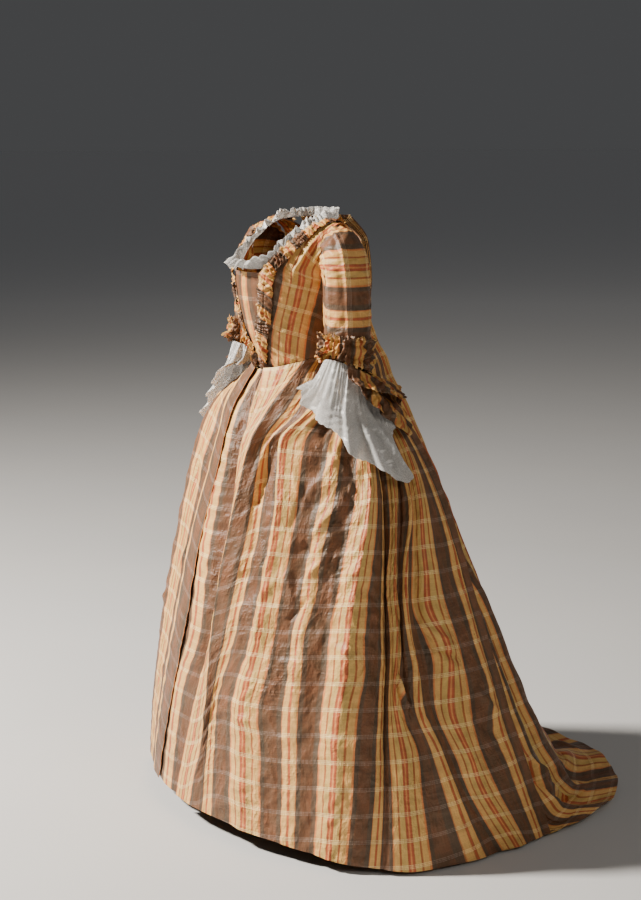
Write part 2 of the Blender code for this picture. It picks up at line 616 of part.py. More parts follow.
for old in list(bpy.data.objects):
    bpy.data.objects.remove(old, do_unlink=True)
WEARER = bpy.data.objects.new("wearer_hold", None)
WEARER.location = (0.0, 0.0, -SHOULDER_HEIGHT)
bpy.context.collection.objects.link(WEARER)

for hand in (1, -1):
    make_false_front(hand)
    make_bodice_front(hand)
    make_robing_trim(hand)
    make_sleeve(hand)
    make_cuff_ruche(hand)
    make_flounces(hand)
    make_lace_frill(hand)
make_bodice_back()
make_neck_frill()
make_skirts()
make_sack()
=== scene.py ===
import math

import bpy
import numpy as np
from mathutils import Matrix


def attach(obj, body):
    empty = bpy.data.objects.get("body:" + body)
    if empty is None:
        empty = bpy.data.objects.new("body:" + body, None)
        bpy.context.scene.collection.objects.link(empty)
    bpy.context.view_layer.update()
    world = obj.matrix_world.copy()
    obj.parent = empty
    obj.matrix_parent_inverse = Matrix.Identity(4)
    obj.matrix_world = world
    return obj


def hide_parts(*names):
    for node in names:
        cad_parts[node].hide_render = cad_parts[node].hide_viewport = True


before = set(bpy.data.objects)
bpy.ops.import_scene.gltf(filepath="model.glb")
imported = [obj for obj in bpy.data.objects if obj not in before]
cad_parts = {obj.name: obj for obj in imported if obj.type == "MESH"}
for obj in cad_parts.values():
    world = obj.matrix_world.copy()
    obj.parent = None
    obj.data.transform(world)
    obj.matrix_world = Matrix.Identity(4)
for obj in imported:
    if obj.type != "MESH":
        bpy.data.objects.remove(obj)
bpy.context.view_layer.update()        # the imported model: bodies, nodes, joints, record
bpy.ops.object.select_all(action="DESELECT")

# ---------------------------------------------------------------- floor, light and camera
# A pale studio floor that pales further with distance, as a sweep of paper does. One strong
# lamp stands in front of the gown and to its right, a weak one at its left, and one behind it
# edges the train. The camera looks at the gown from its left and a little from the front.
SHOULDER_HEIGHT = 1.405     # the part's origin lies this high above the floor
FLOOR = -SHOULDER_HEIGHT
FLOOR_SIZE, SWEEP_START, SWEEP_END = 400.0, 3.0, 14.0


class Graph:
    """Short words for building a node group or a material."""

    def __init__(self, tree):
        self.nodes, self.links = tree.nodes, tree.links

    def feed(self, node, values):
        """Set or link a node's sockets, by name or number."""
        for socket, value in values.items():
            if hasattr(value, "links"):
                self.links.new(value, node.inputs[socket])
            else:
                node.inputs[socket].default_value = value
        return node

    def put(self, kind, values, **settings):
        node = self.nodes.new("ShaderNode" + kind)
        for name, value in settings.items():
            setattr(node, name, value)
        return self.feed(node, values)

    def maths(self, operation, *values):
        return self.put("Math", dict(enumerate(values)), operation=operation).outputs[0]

    def plus(self, first, second):
        return self.maths("ADD", first, second)

    def times(self, first, second):
        return self.maths("MULTIPLY", first, second)

    def mixed(self, share, first, second, how="MIX"):
        return self.put("Mix", {0: share, 6: first, 7: second},
                        data_type="RGBA", blend_type=how).outputs[2]

    def ramp(self, value, stops, interpolation="LINEAR"):
        node = self.put("ValToRGB", {0: value})
        ramp = node.color_ramp
        ramp.interpolation = interpolation
        while len(ramp.elements) < len(stops):
            ramp.elements.new(1.0)
        for element, (place, colour) in zip(ramp.elements, stops):
            element.position = place
        for element, (place, colour) in zip(ramp.elements, stops):
            element.color = (*colour, 1) if hasattr(colour, "__len__") else (colour, colour, colour, 1)
        return node.outputs["Color"]

    def stretched(self, vector, across, down):
        return self.put("Mapping", {"Scale": (across, down, 1), "Vector": vector}).outputs["Vector"]

    def noise(self, vector, scale, detail=2.0, rough=0.5):
        return self.put("TexNoise", {"Vector": vector, "Scale": scale, "Detail": detail,
                                     "Roughness": rough}).outputs["Fac"]


def material_of(name):
    """A new material, its graph and its shader."""
    material = bpy.data.materials.new(name)
    material.use_nodes = True
    graph = Graph(material.node_tree)
    return material, graph, graph.nodes["Principled BSDF"]


bpy.ops.mesh.primitive_plane_add(size=FLOOR_SIZE, location=(0.0, 0.0, FLOOR))
floor = bpy.context.object
floor.name = "studio_floor"
paint, g, shader = material_of("pale_floor")
where = g.put("TexCoord", {}).outputs["Object"]
tone = g.ramp(g.noise(where, 1.5), [(0.0, (0.50, 0.50, 0.50)), (1.0, (0.54, 0.54, 0.535))])
distance = g.put("VectorMath", {0: where}, operation="LENGTH").outputs["Value"]
sweep = g.put("MapRange", {"Value": distance, "From Min": SWEEP_START, "From Max": SWEEP_END})
paled = g.mixed(sweep.outputs["Result"], tone, (0.98, 0.98, 0.98, 1))
g.feed(shader, {"Base Color": paled, "Roughness": 0.75})
floor.data.materials.append(paint)

world = bpy.data.worlds.new("studio")
world.use_nodes = True
air = world.node_tree.nodes["Background"].inputs
air["Color"].default_value = (0.70, 0.71, 0.73, 1)
air["Strength"].default_value = 0.09
bpy.context.scene.world = world


def lamp(name, place, aim, size, power, colour):
    """One rectangular lamp, turned towards a point."""
    bpy.ops.object.light_add(type="AREA", location=place)
    light = bpy.context.object
    light.name = name
    way = np.array(aim) - np.array(place)
    light.rotation_euler = (math.acos(-way[2] / np.linalg.norm(way)), 0, math.atan2(-way[0], way[1]))
    light.data.shape = "RECTANGLE"
    light.data.size, light.data.size_y = size
    light.data.energy = power
    light.data.color = colour


lamp("key_light", (-2.0, -3.5, 2.4), (0, 0, -0.4), (0.5, 0.5), 980, (1.0, 0.93, 0.84))
lamp("fill_light", (4.6, 0.2, 1.8), (0, 0, -0.6), (2.0, 1.5), 60, (1.0, 0.92, 0.82))
lamp("edge_light", (0.5, 3.8, 2.0), (0, 0.3, -0.6), (1.2, 1.2), 11, (1.0, 0.97, 0.95))

bpy.ops.object.camera_add(location=(3.897, -2.250, 0.195),
                          rotation=(math.radians(90 - 9.4), 0, math.radians(59.53)))
camera = bpy.context.object
camera.data.sensor_width = 36.0     # along the picture's long side, 900 pixels
camera.data.lens = 75.72
bpy.context.scene.camera = camera

# ---------------------------------------------------------------- the plaid silk taffeta
# The gown, petticoat and trims are cut from one silk: a wide and a narrow yellow band with
# red and brown lines in turn on a changeable brown ground, crossed every 58 mm by three
# broken pale lines. It is woven with a fine cross rib and creases sharply when handled.
PLAID_REPEAT, WEFT_REPEAT, RIB = 0.232, 0.058, 0.0011       # metres of cloth
WEFT_GROUP = 9.0            # three pale lines and the gaps between them, in millimetres
YELLOW, GREEN_YELLOW, SALMON = (0.590, 0.335, 0.105), (0.515, 0.325, 0.098), (0.560, 0.195, 0.062)
RUST, ORANGE, RED = (0.330, 0.080, 0.030), (0.560, 0.230, 0.072), (0.400, 0.092, 0.036)
BROWN_LINE, TAUPE, BROWN = (0.330, 0.100, 0.032), (0.094, 0.060, 0.037), (0.136, 0.065, 0.033)
PLAID = (                   # where each stripe starts across the repeat, in millimetres
    (0, SALMON), (4, YELLOW), (18, BROWN_LINE), (22, GREEN_YELLOW), (36, RUST), (39, RED),
    (42, ORANGE), (46, RED), (49, RUST), (52, GREEN_YELLOW), (66, BROWN_LINE), (70, YELLOW),
    (84, SALMON), (88, TAUPE), (98, BROWN), (128, TAUPE), (141, SALMON), (143, YELLOW),
    (156, BROWN_LINE), (158, RED), (162, BROWN_LINE), (164, YELLOW), (177, SALMON),
    (179, TAUPE), (190, BROWN), (218, TAUPE),
)
GREY_GROUND, RED_GROUND = (0.80, 0.90, 0.92, 1), (1.22, 1.06, 0.98, 1)
WEFT_ON_GROUND, WEFT_ON_BANDS = (0.36, 0.27, 0.22, 1), (0.93, 0.76, 0.38, 1)

plaid_group = bpy.data.node_groups.new("plaid silk", "ShaderNodeTree")
amount = plaid_group.interface.new_socket("Creasing", in_out="INPUT", socket_type="NodeSocketFloat")
amount.default_value = 1.0
for label, kind in (("Colour", "Color"), ("Roughness", "Float"), ("Height", "Float")):
    plaid_group.interface.new_socket(label, in_out="OUTPUT", socket_type="NodeSocket" + kind)
g = Graph(plaid_group)
way_in, way_out = plaid_group.nodes.new("NodeGroupInput"), plaid_group.nodes.new("NodeGroupOutput")
cloth_map = g.put("UVMap", {}, uv_map="cloth").outputs["UV"]
axes = g.put("SeparateXYZ", {0: cloth_map}).outputs


def within(value, repeat):
    """How far along its repeat a place on the cloth lies, from 0 to 1."""
    return g.maths("FRACT", g.plus(g.maths("DIVIDE", value, repeat), 20.0))


def by_stripe(place, shade):
    """What a function makes of the colour of the stripe at each place."""
    stops = [(start / 1000 / PLAID_REPEAT, shade(colour)) for start, colour in PLAID]
    return g.ramp(place, stops, "CONSTANT")


# the stripes are read twice, a little apart and with ragged edges, as threads lie at a colour's end
for k, (grain_across, grain_down, shift) in enumerate(((900, 40, -0.0006), (420, 15, 0.0006))):
    wobble = g.noise(g.stretched(cloth_map, grain_across, grain_down), 1.0, 1.0)
    ragged = g.plus(g.times(g.maths("SUBTRACT", wobble, 0.5), 0.0030), shift)
    place = within(g.plus(axes[0], ragged), PLAID_REPEAT)
    read = by_stripe(place, lambda colour: colour)
    stripes = g.mixed(0.5, stripes, read) if k else read
bands = by_stripe(place, lambda colour: 0.0 if colour in (TAUPE, BROWN) else 1.0)
# the ground changes between red-brown and grey-brown where the weft shows more or less
blotches = g.noise(g.stretched(cloth_map, 1.0, 0.45), 34.0, 3.0, 0.6)
shot = g.mixed(g.ramp(blotches, [(0.34, 0.0), (0.66, 1.0)]), GREY_GROUND, RED_GROUND)
colour = g.mixed(1.0, stripes, g.mixed(bands, shot, (1, 1, 1, 1)), "MULTIPLY")
threads = g.noise(g.stretched(cloth_map, 1500, 25), 1.0)
slubs = g.noise(g.stretched(cloth_map, 30, 1200), 1.0)
streaks = g.ramp(g.times(g.plus(threads, slubs), 0.5), [(0.3, 0.78), (0.7, 1.20)])
colour = g.mixed(1.0, colour, streaks, "MULTIPLY")
# three fine broken lines of pale weft in each group
along_weft = g.times(within(axes[1], WEFT_REPEAT), WEFT_REPEAT * 1000)
lines = g.ramp(g.maths("DIVIDE", along_weft, 10.0), [
    (0.0, 1.0), (0.17, 0.25), (0.36, 1.0), (0.53, 0.25), (0.72, 1.0), (0.89, 0.0)], "CONSTANT")
dashes = g.ramp(g.noise(g.stretched(cloth_map, 330, 60), 1.0, 1.0), [(0.40, 0.35), (0.50, 1.0)])
lines = g.times(g.times(lines, dashes), g.maths("LESS_THAN", along_weft, WEFT_GROUP))
lines = g.times(lines, g.ramp(bands, [(0.0, 0.32), (1.0, 0.46)]))
colour = g.mixed(lines, colour, g.mixed(bands, WEFT_ON_GROUND, WEFT_ON_BANDS))
# creases of handling: fine ones all over, and sharp ridged ones where the silk was handled most
ribs = g.maths("SINE", g.times(axes[1], 2 * math.pi / RIB))
fine = g.noise(g.stretched(cloth_map, 1.0, 0.40), 120.0, 3.0, 0.55)
hard, slant = (
    g.put("TexNoise", {"Vector": g.stretched(cloth_map, across, down), "Scale": scale, "Detail": detail,
                       "Roughness": rough, "Offset": 1.0, "Gain": 1.5},
          noise_type="RIDGED_MULTIFRACTAL").outputs["Fac"]
    for across, down, scale, detail, rough in (
        (1.0, 0.55, 26.0, 4.0, 0.60), (0.40, 1.0, 34.0, 3.0, 0.55)))
handled = g.ramp(g.noise(cloth_map, 7.0), [(0.38, 0.2), (0.64, 1.0)])
folded = g.times(handled, g.plus(g.times(hard, 0.28), g.times(slant, 0.18)))
creases = g.times(way_in.outputs["Creasing"], g.plus(g.times(fine, 0.22), folded))
# painted highlight along the sharp crease ridges and painted shade between them, multiplied into the
# colour
crease_light_and_shade = g.ramp(g.times(g.plus(hard, slant), 0.25), [(0.15, 0.84), (0.75, 1.18)])
g.feed(way_out, {
    "Colour": g.mixed(1.0, colour, crease_light_and_shade, "MULTIPLY"),
    "Roughness": g.plus(0.38, g.times(g.noise(cloth_map, 60.0, 3.0), 0.18)),
    "Height": g.plus(creases, g.times(ribs, 0.003))})


def silk(name, creasing=1.0, darkening=(1.0, 1.0, 1.0)):
    """A silk of its own for one kind of piece: the same plaid, more or less creased and darkened by a
    colour multiplied into it; on the bodice silk this darkening is painted shade.
    """
    material, m, shader = material_of(name)
    plaid = m.put("Group", {}, node_tree=plaid_group)
    m.feed(plaid, {"Creasing": creasing})
    relief = m.put("Bump", {"Strength": 0.9, "Distance": 0.0090, "Height": plaid.outputs["Height"]})
    m.feed(shader, {
        "Base Color": m.mixed(1.0, plaid.outputs["Colour"], (*darkening, 1), "MULTIPLY"),
        "Roughness": plaid.outputs["Roughness"], "Normal": relief.outputs["Normal"],
        "Sheen Tint": (1.0, 0.84, 0.68, 1), "Sheen Weight": 0.04, "Sheen Roughness": 0.45,
        "Specular IOR Level": 0.24})
    return material


SKIRT_SILK = silk("plaid_taffeta_skirts")

# ---------------------------------------------------------------- the petticoat front
# The petticoat shows in the gap of the open gown. It is a straight length of the plaid silk,
# pleated to a tape at the waist and hanging over the side hoops in one forward ridge, with a
# second fold in shade beside it.
CLOTH = 0.0012              # thickness of the lined silk
WAIST_SIDE, WAIST_FRONT = 1.096, 1.063
# Rings of the skirts over the hoops, in millimetres: height, half width, front and back depth,
# centre to the left
SKIRT_RINGS = np.array((
    (1100, 124, 118, 120, 0), (1065, 135, 126, 140, 1), (1030, 185, 150, 170, 2),
    (970, 268, 190, 215, 4), (892, 325, 220, 275, 7), (780, 385, 242, 335, 11),
    (684, 415, 260, 385, 14), (584, 440, 280, 437, 18), (485, 470, 297, 490, 22),
    (384, 496, 313, 545, 26), (283, 522, 325, 600, 29), (181, 548, 335, 655, 33),
    (100, 560, 342, 700, 36), (0, 572, 348, 760, 40),
)) / 1000
HEM_LINE = np.array(((0, 0.044), (25, 0.042), (45, 0.031), (62, 0.017), (80, 0.008), (180, 0.005)))
# Where the cloth lies: millimetres across it, then its angle from the front (degrees) at each
# share of the length. Where it stands out: millimetres across it, then out at the same shares.
SHARES = (0.00, 0.07, 0.16, 0.40, 0.585, 0.76, 1.00)
SHARPNESS = 0.60            # of the turn at each ridge and valley, from 0 for soft to 1
PETTICOAT_LINES = (
    (-290, -12, -12, -14, -20, -20, -24, -29), (-187, -5, -3, -2, -4.5, -3, -10, -14),
    (-165, 2, 2, 3.5, 0.5, 1.5, -6, -10), (-115, 6, 8, 10, 7, 6.5, 1, -5),
    (0, 12, 18, 20, 15, 14, 10, 5), (70, 20, 27, 27, 22, 19, 17, 14),
)
PETTICOAT_RISES = (
    (-290, -8, -10, -10, -9, -8, -7, -5), (-222, -7, -7, -6, -5, -5, -4, -3),
    (-190, -5, -2, 0, 2, 2, 1, 0), (-168, -6, -4, -2, 1, 1, 0, -1),
    (-130, -8, -12, -16, -14, -12, -9, -7), (-60, -9, -14, -19, -18, -16, -12, -8),
    (0, -9, -19, -27, -27, -23, -17, -10), (70, -10, -21, -33, -31, -24, -19, -14),
)
SKIRT_ROWS = 170


def curve(knots, values, places):
    """Smooth curve through a table's values that doesn't overshoot them."""
    knots, values = np.asarray(knots, float), np.asarray(values, float)
    if knots[0] > knots[-1]:
        knots, values = knots[::-1], values[::-1]
    widths = np.diff(knots)
    steps = np.diff(values) / widths
    slopes = np.zeros(len(knots))
    before, after = steps[:-1], steps[1:]
    same = before * after > 0
    slopes[1:-1][same] = 2 * before[same] * after[same] / (before[same] + after[same])
    slopes[0], slopes[-1] = steps[0], steps[-1]
    places = np.clip(places, knots[0], knots[-1])
    index = np.clip(np.searchsorted(knots, places, side="right") - 1, 0, len(knots) - 2)
    t, width = (places - knots[index]) / widths[index], widths[index]
    return ((1 + 2 * t) * (1 - t) ** 2 * values[index] + t * (1 - t) ** 2 * width * slopes[index]
            + t * t * (3 - 2 * t) * values[index + 1] - t * t * (1 - t) * width * slopes[index + 1])


def at(table, column, places):
    """Read one column of a table at places along its first."""
    return curve(table[:, 0], table[:, column], places)


def skirt_surface(angle, share):
    """Points of the smooth skirt at angles from the front and shares of the way down."""
    turn = np.radians(angle)
    dip = np.clip(np.cos(turn), 0, None) ** 2
    top = WAIST_SIDE - (WAIST_SIDE - WAIST_FRONT) * dip - 0.0004
    height = top + share * (at(HEM_LINE, 1, np.abs(angle)) - top)
    half_width, front, back, shift = (at(SKIRT_RINGS, k, height) for k in (1, 2, 3, 4))
    depth = np.where(np.cos(turn) > 0, front, back)
    return np.stack([shift + half_width * np.sin(turn), -depth * np.cos(turn), height], -1)


def unit(vectors):
    return vectors / np.maximum(np.linalg.norm(vectors, axis=-1, keepdims=True), 1e-12)


def raised(points, relief, closed=False):
    """A grid of points raised outwards: rows run down, columns to the right from outside."""
    right = np.gradient(points, axis=1)
    if closed:
        right[:, 0] = right[:, -1] = (points[:, 1] - points[:, -2]) / 2
    return points + unit(np.cross(np.gradient(points, axis=0), right)) * relief[:, :, None]


def eased(knots, values, places):
    """Rises and falls between a row of ridges and valleys."""
    index = np.clip(np.searchsorted(knots, places, side="right") - 1, 0, len(knots) - 2)
    t = np.clip((places - knots[index]) / (knots[index + 1] - knots[index]), 0, 1)
    soft = (1 - np.cos(np.pi * t)) / 2
    ease = soft + (t - soft) * SHARPNESS
    return values[index] + ease * (values[index + 1] - values[index])


def lengths_down(points):
    """Metres of cloth from the top edge to each point of a grid."""
    steps = np.linalg.norm(np.diff(points, axis=0), axis=2)
    return np.concatenate([np.zeros((1, points.shape[1])), np.cumsum(steps, axis=0)])


def hung(surface, lines, rises, shares, columns, rows):
    """Cloth hung on a surface by two tables as above. Returns its folded points, and the place
    across the cloth and the length down it of each."""
    line_knots, rise_knots = (np.array([row[0] for row in table]) / 1000 for table in (lines, rises))
    across = np.linspace(line_knots[0], line_knots[-1], columns)
    down = np.linspace(0, 1, rows)
    line_places = np.array([curve(shares, row[1:], down) for row in lines])
    rise_heights = np.array([curve(shares, row[1:], down) for row in rises])
    places = np.array([curve(line_knots, line_places[:, k], across) for k in range(rows)])
    heights = np.array([eased(rise_knots, rise_heights[:, k], across) for k in range(rows)]) / 1000
    smooth = surface(places, np.repeat(down[:, None], columns, axis=1))
    return raised(smooth, heights), np.repeat(across[None, :], rows, axis=0), lengths_down(smooth)


def value_noise(x, y, seed):
    """Smooth random values from 0 to 1 over a plane."""
    lattice = np.random.default_rng(seed).random((64, 64))
    ix, iy = np.floor(x).astype(int), np.floor(y).astype(int)
    fx, fy = x - ix, y - iy
    fx, fy = fx * fx * (3 - 2 * fx), fy * fy * (3 - 2 * fy)
    a, b = lattice[ix % 64, iy % 64], lattice[(ix + 1) % 64, iy % 64]
    c, d = lattice[ix % 64, (iy + 1) % 64], lattice[(ix + 1) % 64, (iy + 1) % 64]
    return (a + (b - a) * fx) * (1 - fy) + (c + (d - c) * fx) * fy


def crumples(across, down, size, seed, tall=1.0):
    """Short straight creases in all directions with flat faces between them, as taffeta keeps
    after handling. Sizes in metres; the result runs from about -1 to 1."""
    x, y = across / size, down / size / tall
    bend = (value_noise(x * 0.31 + 5.1, y * 0.31, seed + 1) - 0.5) * 2.6
    swirl = (value_noise(x * 0.27, y * 0.27 + 3.7, seed + 2) - 0.5) * 2.6
    total = np.zeros_like(x)
    for k in range(6):
        turn = math.pi * (k + 0.3 * math.sin(seed + 5 * k)) / 6
        stretch = 0.62 + 0.23 * ((k * 7) % 4)
        phase = ((x * math.cos(turn) + y * math.sin(turn)) * stretch + bend * math.cos(k)
                 + swirl * math.sin(k * 2.1))
        wave = np.abs(2 * (phase - np.floor(phase)) - 1)
        here = value_noise(x * 0.42 + 11.3 * k, y * 0.42 + 6.1 * k, seed + 3 + k)
        total = total + (wave * 2 - 1) * np.clip(here * 2.4 - 1.1, 0, 1)
    return total / 1.6


def cloth(name, points, flat_map, material, thickness, closed=False):
    """Lay a flat grid of cloth, carry each point of it to its place, and give it thickness.
    points and flat_map are grids: rows run down, columns to the right seen from outside."""
    rows, columns = points.shape[:2]
    bpy.ops.object.select_all(action="DESELECT")
    bpy.ops.mesh.primitive_grid_add(x_subdivisions=columns - 1, y_subdivisions=rows - 1, size=2)
    piece = bpy.context.object
    piece.name = piece.data.name = name
    mesh = piece.data
    flat = np.empty(len(mesh.vertices) * 3)
    mesh.vertices.foreach_get("co", flat)
    flat = flat.reshape(-1, 3)
    column = np.rint((flat[:, 0] + 1) / 2 * (columns - 1)).astype(int)
    row = np.rint((1 - flat[:, 1]) / 2 * (rows - 1)).astype(int)
    mesh.vertices.foreach_set("co", (points[row, column] + (0, 0, FLOOR)).ravel())
    corners = np.empty(len(mesh.loops), int)
    mesh.loops.foreach_get("vertex_index", corners)
    while mesh.uv_layers:
        mesh.uv_layers.remove(mesh.uv_layers[0])
    layer = mesh.uv_layers.new(name="cloth")
    layer.data.foreach_set("uv", flat_map[row[corners], column[corners]].ravel())
    if closed:
        bpy.ops.object.mode_set(mode="EDIT")
        bpy.ops.mesh.select_all(action="SELECT")
        bpy.ops.mesh.remove_doubles(threshold=0.00001)
        bpy.ops.object.mode_set(mode="OBJECT")
    wall = piece.modifiers.new("wall", "SOLIDIFY")
    wall.thickness = thickness
    wall.offset = -1.0
    bpy.ops.object.modifier_apply(modifier=wall.name)
    bpy.ops.object.shade_smooth_by_angle(angle=math.radians(70))
    mesh.materials.append(material)
    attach(piece, "root")
    return piece


points, place, length = hung(skirt_surface, PETTICOAT_LINES, PETTICOAT_RISES, SHARES, 150, SKIRT_ROWS)
points = raised(points, 0.0020 * crumples(place, length, 0.045, 11))
petticoat = cloth("petticoat", points, np.stack([place - 0.117, length], -1), SKIRT_SILK, CLOTH)
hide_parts("petticoat_front")

# ---------------------------------------------------------------- the gown's open skirts
# Each skirt is a little over a metre of the silk, pleated to the waist seam from the front edge
# to the sack and spread over the side hoops. The hem hangs a little off the floor.
LEFT_LINES = (
    (-115, 9, 17, 13, 8.5, 6, 0.5, -6), (-71, 33, 25, 16, 9.5, 7, 4, -2),
    (-27, 56, 31, 20, 11, 8.5, 8, 2), (10, 67, 39, 23, 16, 12, 9, 6),
    (45, 76, 47, 25, 19.5, 15, 10, 9), (161, 87, 66, 40, 34, 28.5, 24, 24),
    (277, 92, 82, 66, 49, 43, 39.5, 38), (393, 95, 90, 84, 68, 60, 55, 51),
    (509, 97, 94, 91, 81, 75, 70, 65), (581, 98, 96, 94, 83.5, 77.5, 73, 71),
    (625, 98.5, 97, 96, 86.5, 80, 77, 77.5), (741, 100, 100, 101, 91, 87, 91, 97),
    (857, 101, 103, 107, 98, 97.5, 97.5, 106), (973, 102, 107, 115, 114, 111.5, 110.5, 112.5),
    (1020, 103, 110, 120, 118, 115.5, 114.5, 115.5),
)
LEFT_RISES = (
    (-115, 2, 2, 5, -6, -6, -2, 4), (-75, 2, 4, 10, 2, 2, 2, 5), (-24, 2, 8, 14, 13, 10, 8, 6),
    (10, 0, 0, -2, 1, 2, 2, 3), (55, -2, -8, -18, -15, -7, -4, 0),
    (112, 1, -4, -20, -13, -6, -4, -2), (152, 3, 8, 20, 18, 16, 12, 6), (195, 1, 4, 11, 9, 7, 5, 3),
    (245, -1, -2, 0, -2, -3, -3, -2), (285, 2, 4, 6, 5, 4, 2, 0), (338, -1, -3, -3, -5, -5, -4, -4),
    (400, 3, 4, 10, 24, 24, 18, 9), (440, 0, 3, 8, 12, 12, 10, 6),
    (490, -1, -5, -11, -13, -12, -8, -3), (545, -2, -8, -22, -28, -26, -18, -7),
    (574, 0, -3, -8, -10, -9, -5, 1), (625, 2, 0, -2, -3, -3, 0, 4),
    (690, -2, -6, -11, -14, -14, -11, -5), (742, 3, 3, 6, 6, 5, 5, 5),
    (800, -2, -4, -8, -11, -11, -9, -6), (868, 3, 5, 9, 12, 13, 12, 11),
    (930, -1, 0, 1, 1, 1, 2, 4), (975, 1, 3, 5, 5, 4, 4, 7), (998, -1, 0, 0, -2, -3, -2, 3),
    (1020, 4, 7, 11, 9, 8, 8, 11),
)
RIGHT_LINES = (             # measured from its front edge too, but it runs to the right
    (-115, 6, 2, 1, 7.5, 9, 13, 20), (-62, 36, 15, 9, 16, 18, 21.5, 27),
    (-24, 56, 26, 14, 21.5, 23.5, 26.5, 31), (73, 80, 52, 30, 31, 33, 36, 40),
    (161, 87, 66, 44, 41, 42, 44, 48), (277, 92, 82, 64, 55, 54, 55, 58),
    (393, 95, 90, 80, 70, 66, 66, 67), (509, 97, 94, 90, 82, 78, 77, 78),
    (625, 98.5, 98, 98, 91, 87, 87, 88), (741, 100, 102, 105, 98, 95, 95, 98),
    (857, 101, 105, 111, 104, 101.5, 102, 106), (973, 102, 108, 116, 110, 108, 109, 112.5),
    (1020, 103, 111, 118, 113, 111, 112, 115),
)
RIGHT_RISES = (
    (-115, 3, 4, 4, 2, 2, 2, 3), (-60, 1, 2, 0, 2, 2, 2, 2), (0, -1, -8, -16, -14, -12, -9, -4),
    (70, 1, -2, -4, -4, -4, -2, 0), (150, 4, 8, 13, 13, 13, 10, 8),
    (235, -2, -3, -5, -7, -8, -6, -4), (330, 4, 7, 12, 13, 14, 11, 8),
    (455, -3, -8, -14, -16, -17, -12, -8), (560, 4, 6, 10, 13, 14, 12, 10),
    (660, -3, -8, -12, -14, -15, -11, -7), (760, 3, 6, 10, 12, 12, 10, 9),
    (850, -2, -5, -8, -9, -9, -8, -6), (930, 3, 4, 5, 6, 6, 6, 7), (985, -1, 0, 0, -1, -2, 0, 3),
    (1020, 4, 7, 10, 9, 8, 9, 11),
)
# How much the silk is crumpled from handling: place across the cloth, then a share
HANDLED = np.array(((-0.115, 0.7), (0.00, 0.6), (0.10, 0.9), (0.20, 1.1), (0.30, 1.3), (0.42, 1.0),
                    (0.52, 0.7), (0.62, 0.35), (1.02, 0.28)))
# Main creases: where each starts and ends (across, down), its width and its height, millimetres
LEFT_CREASES = (
    (205, 85, 185, 240, 9, 7), (225, 85, 240, 260, 10, -8), (238, 90, 285, 230, 8, 6),
    (215, 90, 150, 190, 10, -6), (250, 100, 330, 190, 9, 6), (262, 120, 270, 300, 9, -6),
    (80, 210, 0, 370, 16, 7), (110, 260, 30, 420, 14, -8), (390, 280, 285, 420, 18, 6),
    (345, 330, 250, 470, 14, -6), (20, 360, 65, 375, 7, 6), (10, 385, 60, 410, 7, -5),
    (180, 330, 225, 420, 10, 5), (225, 350, 195, 470, 9, -6), (290, 300, 240, 365, 8, 6),
    (300, 430, 255, 480, 8, 6), (240, 500, 300, 560, 8, -6), (310, 520, 265, 590, 8, 6),
    (205, 560, 245, 640, 9, 5), (285, 620, 235, 680, 8, -6), (330, 560, 350, 690, 11, 6),
    (0, 500, 30, 570, 9, 5), (-30, 560, -55, 700, 8, -5), (60, 640, 90, 760, 12, 5),
    (420, 560, 470, 590, 8, 6), (410, 600, 480, 640, 9, -6), (425, 660, 490, 670, 8, 6),
    (400, 700, 480, 730, 9, -5), (350, 730, 430, 760, 10, 5), (130, 700, 190, 730, 9, 5),
    (110, 760, 170, 800, 9, -5), (230, 760, 290, 800, 10, 5), (350, 930, 480, 985, 14, 5),
    (300, 900, 380, 960, 13, -4), (120, 900, 220, 930, 13, 4), (-60, 860, 30, 910, 12, 5),
    (530, 120, 560, 480, 15, 5), (600, 200, 585, 560, 14, -5), (640, 80, 680, 430, 12, 5),
    (700, 300, 655, 680, 15, -5), (740, 520, 700, 860, 17, 5), (780, 100, 800, 460, 13, 4),
    (830, 400, 800, 820, 16, -4), (600, 700, 660, 980, 18, 5), (900, 300, 880, 700, 13, 4),
    (100, 0, 120, 160, 14, -5), (170, 0, 190, 190, 15, 6), (235, 0, 255, 160, 15, -6),
    (300, 0, 320, 190, 15, 6), (360, 0, 380, 150, 15, -6), (130, 150, 150, 330, 14, 5),
    (800, 690, 880, 745, 9, 8), (810, 735, 890, 790, 9, -8), (640, 800, 700, 905, 9, 8),
    (630, 860, 690, 940, 9, -7), (920, 860, 975, 930, 10, 8), (900, 920, 960, 980, 10, -7),
)
RIGHT_CREASES = (
    (-170, 90, -190, 300, 10, 7), (-200, 100, -250, 280, 9, -6), (-230, 90, -310, 240, 9, 6),
    (-60, 240, -10, 400, 15, 6), (-110, 300, -50, 450, 14, -6), (-330, 300, -240, 470, 16, 6),
    (-200, 360, -160, 480, 9, -5), (-280, 330, -230, 400, 8, 6), (-240, 520, -310, 570, 8, -6),
    (-300, 610, -250, 690, 9, 5), (-20, 560, -50, 640, 9, 5), (-120, 720, -190, 750, 9, 5),
    (-400, 600, -480, 630, 9, -5), (-420, 680, -360, 740, 10, 5), (-250, 880, -370, 940, 13, 4),
    (-520, 150, -560, 520, 15, 5), (-640, 100, -600, 480, 13, -5), (-700, 420, -740, 800, 16, 5),
    (-800, 200, -770, 620, 14, -4), (-880, 450, -900, 850, 15, 4), (-20, 880, -100, 930, 12, 5),
)
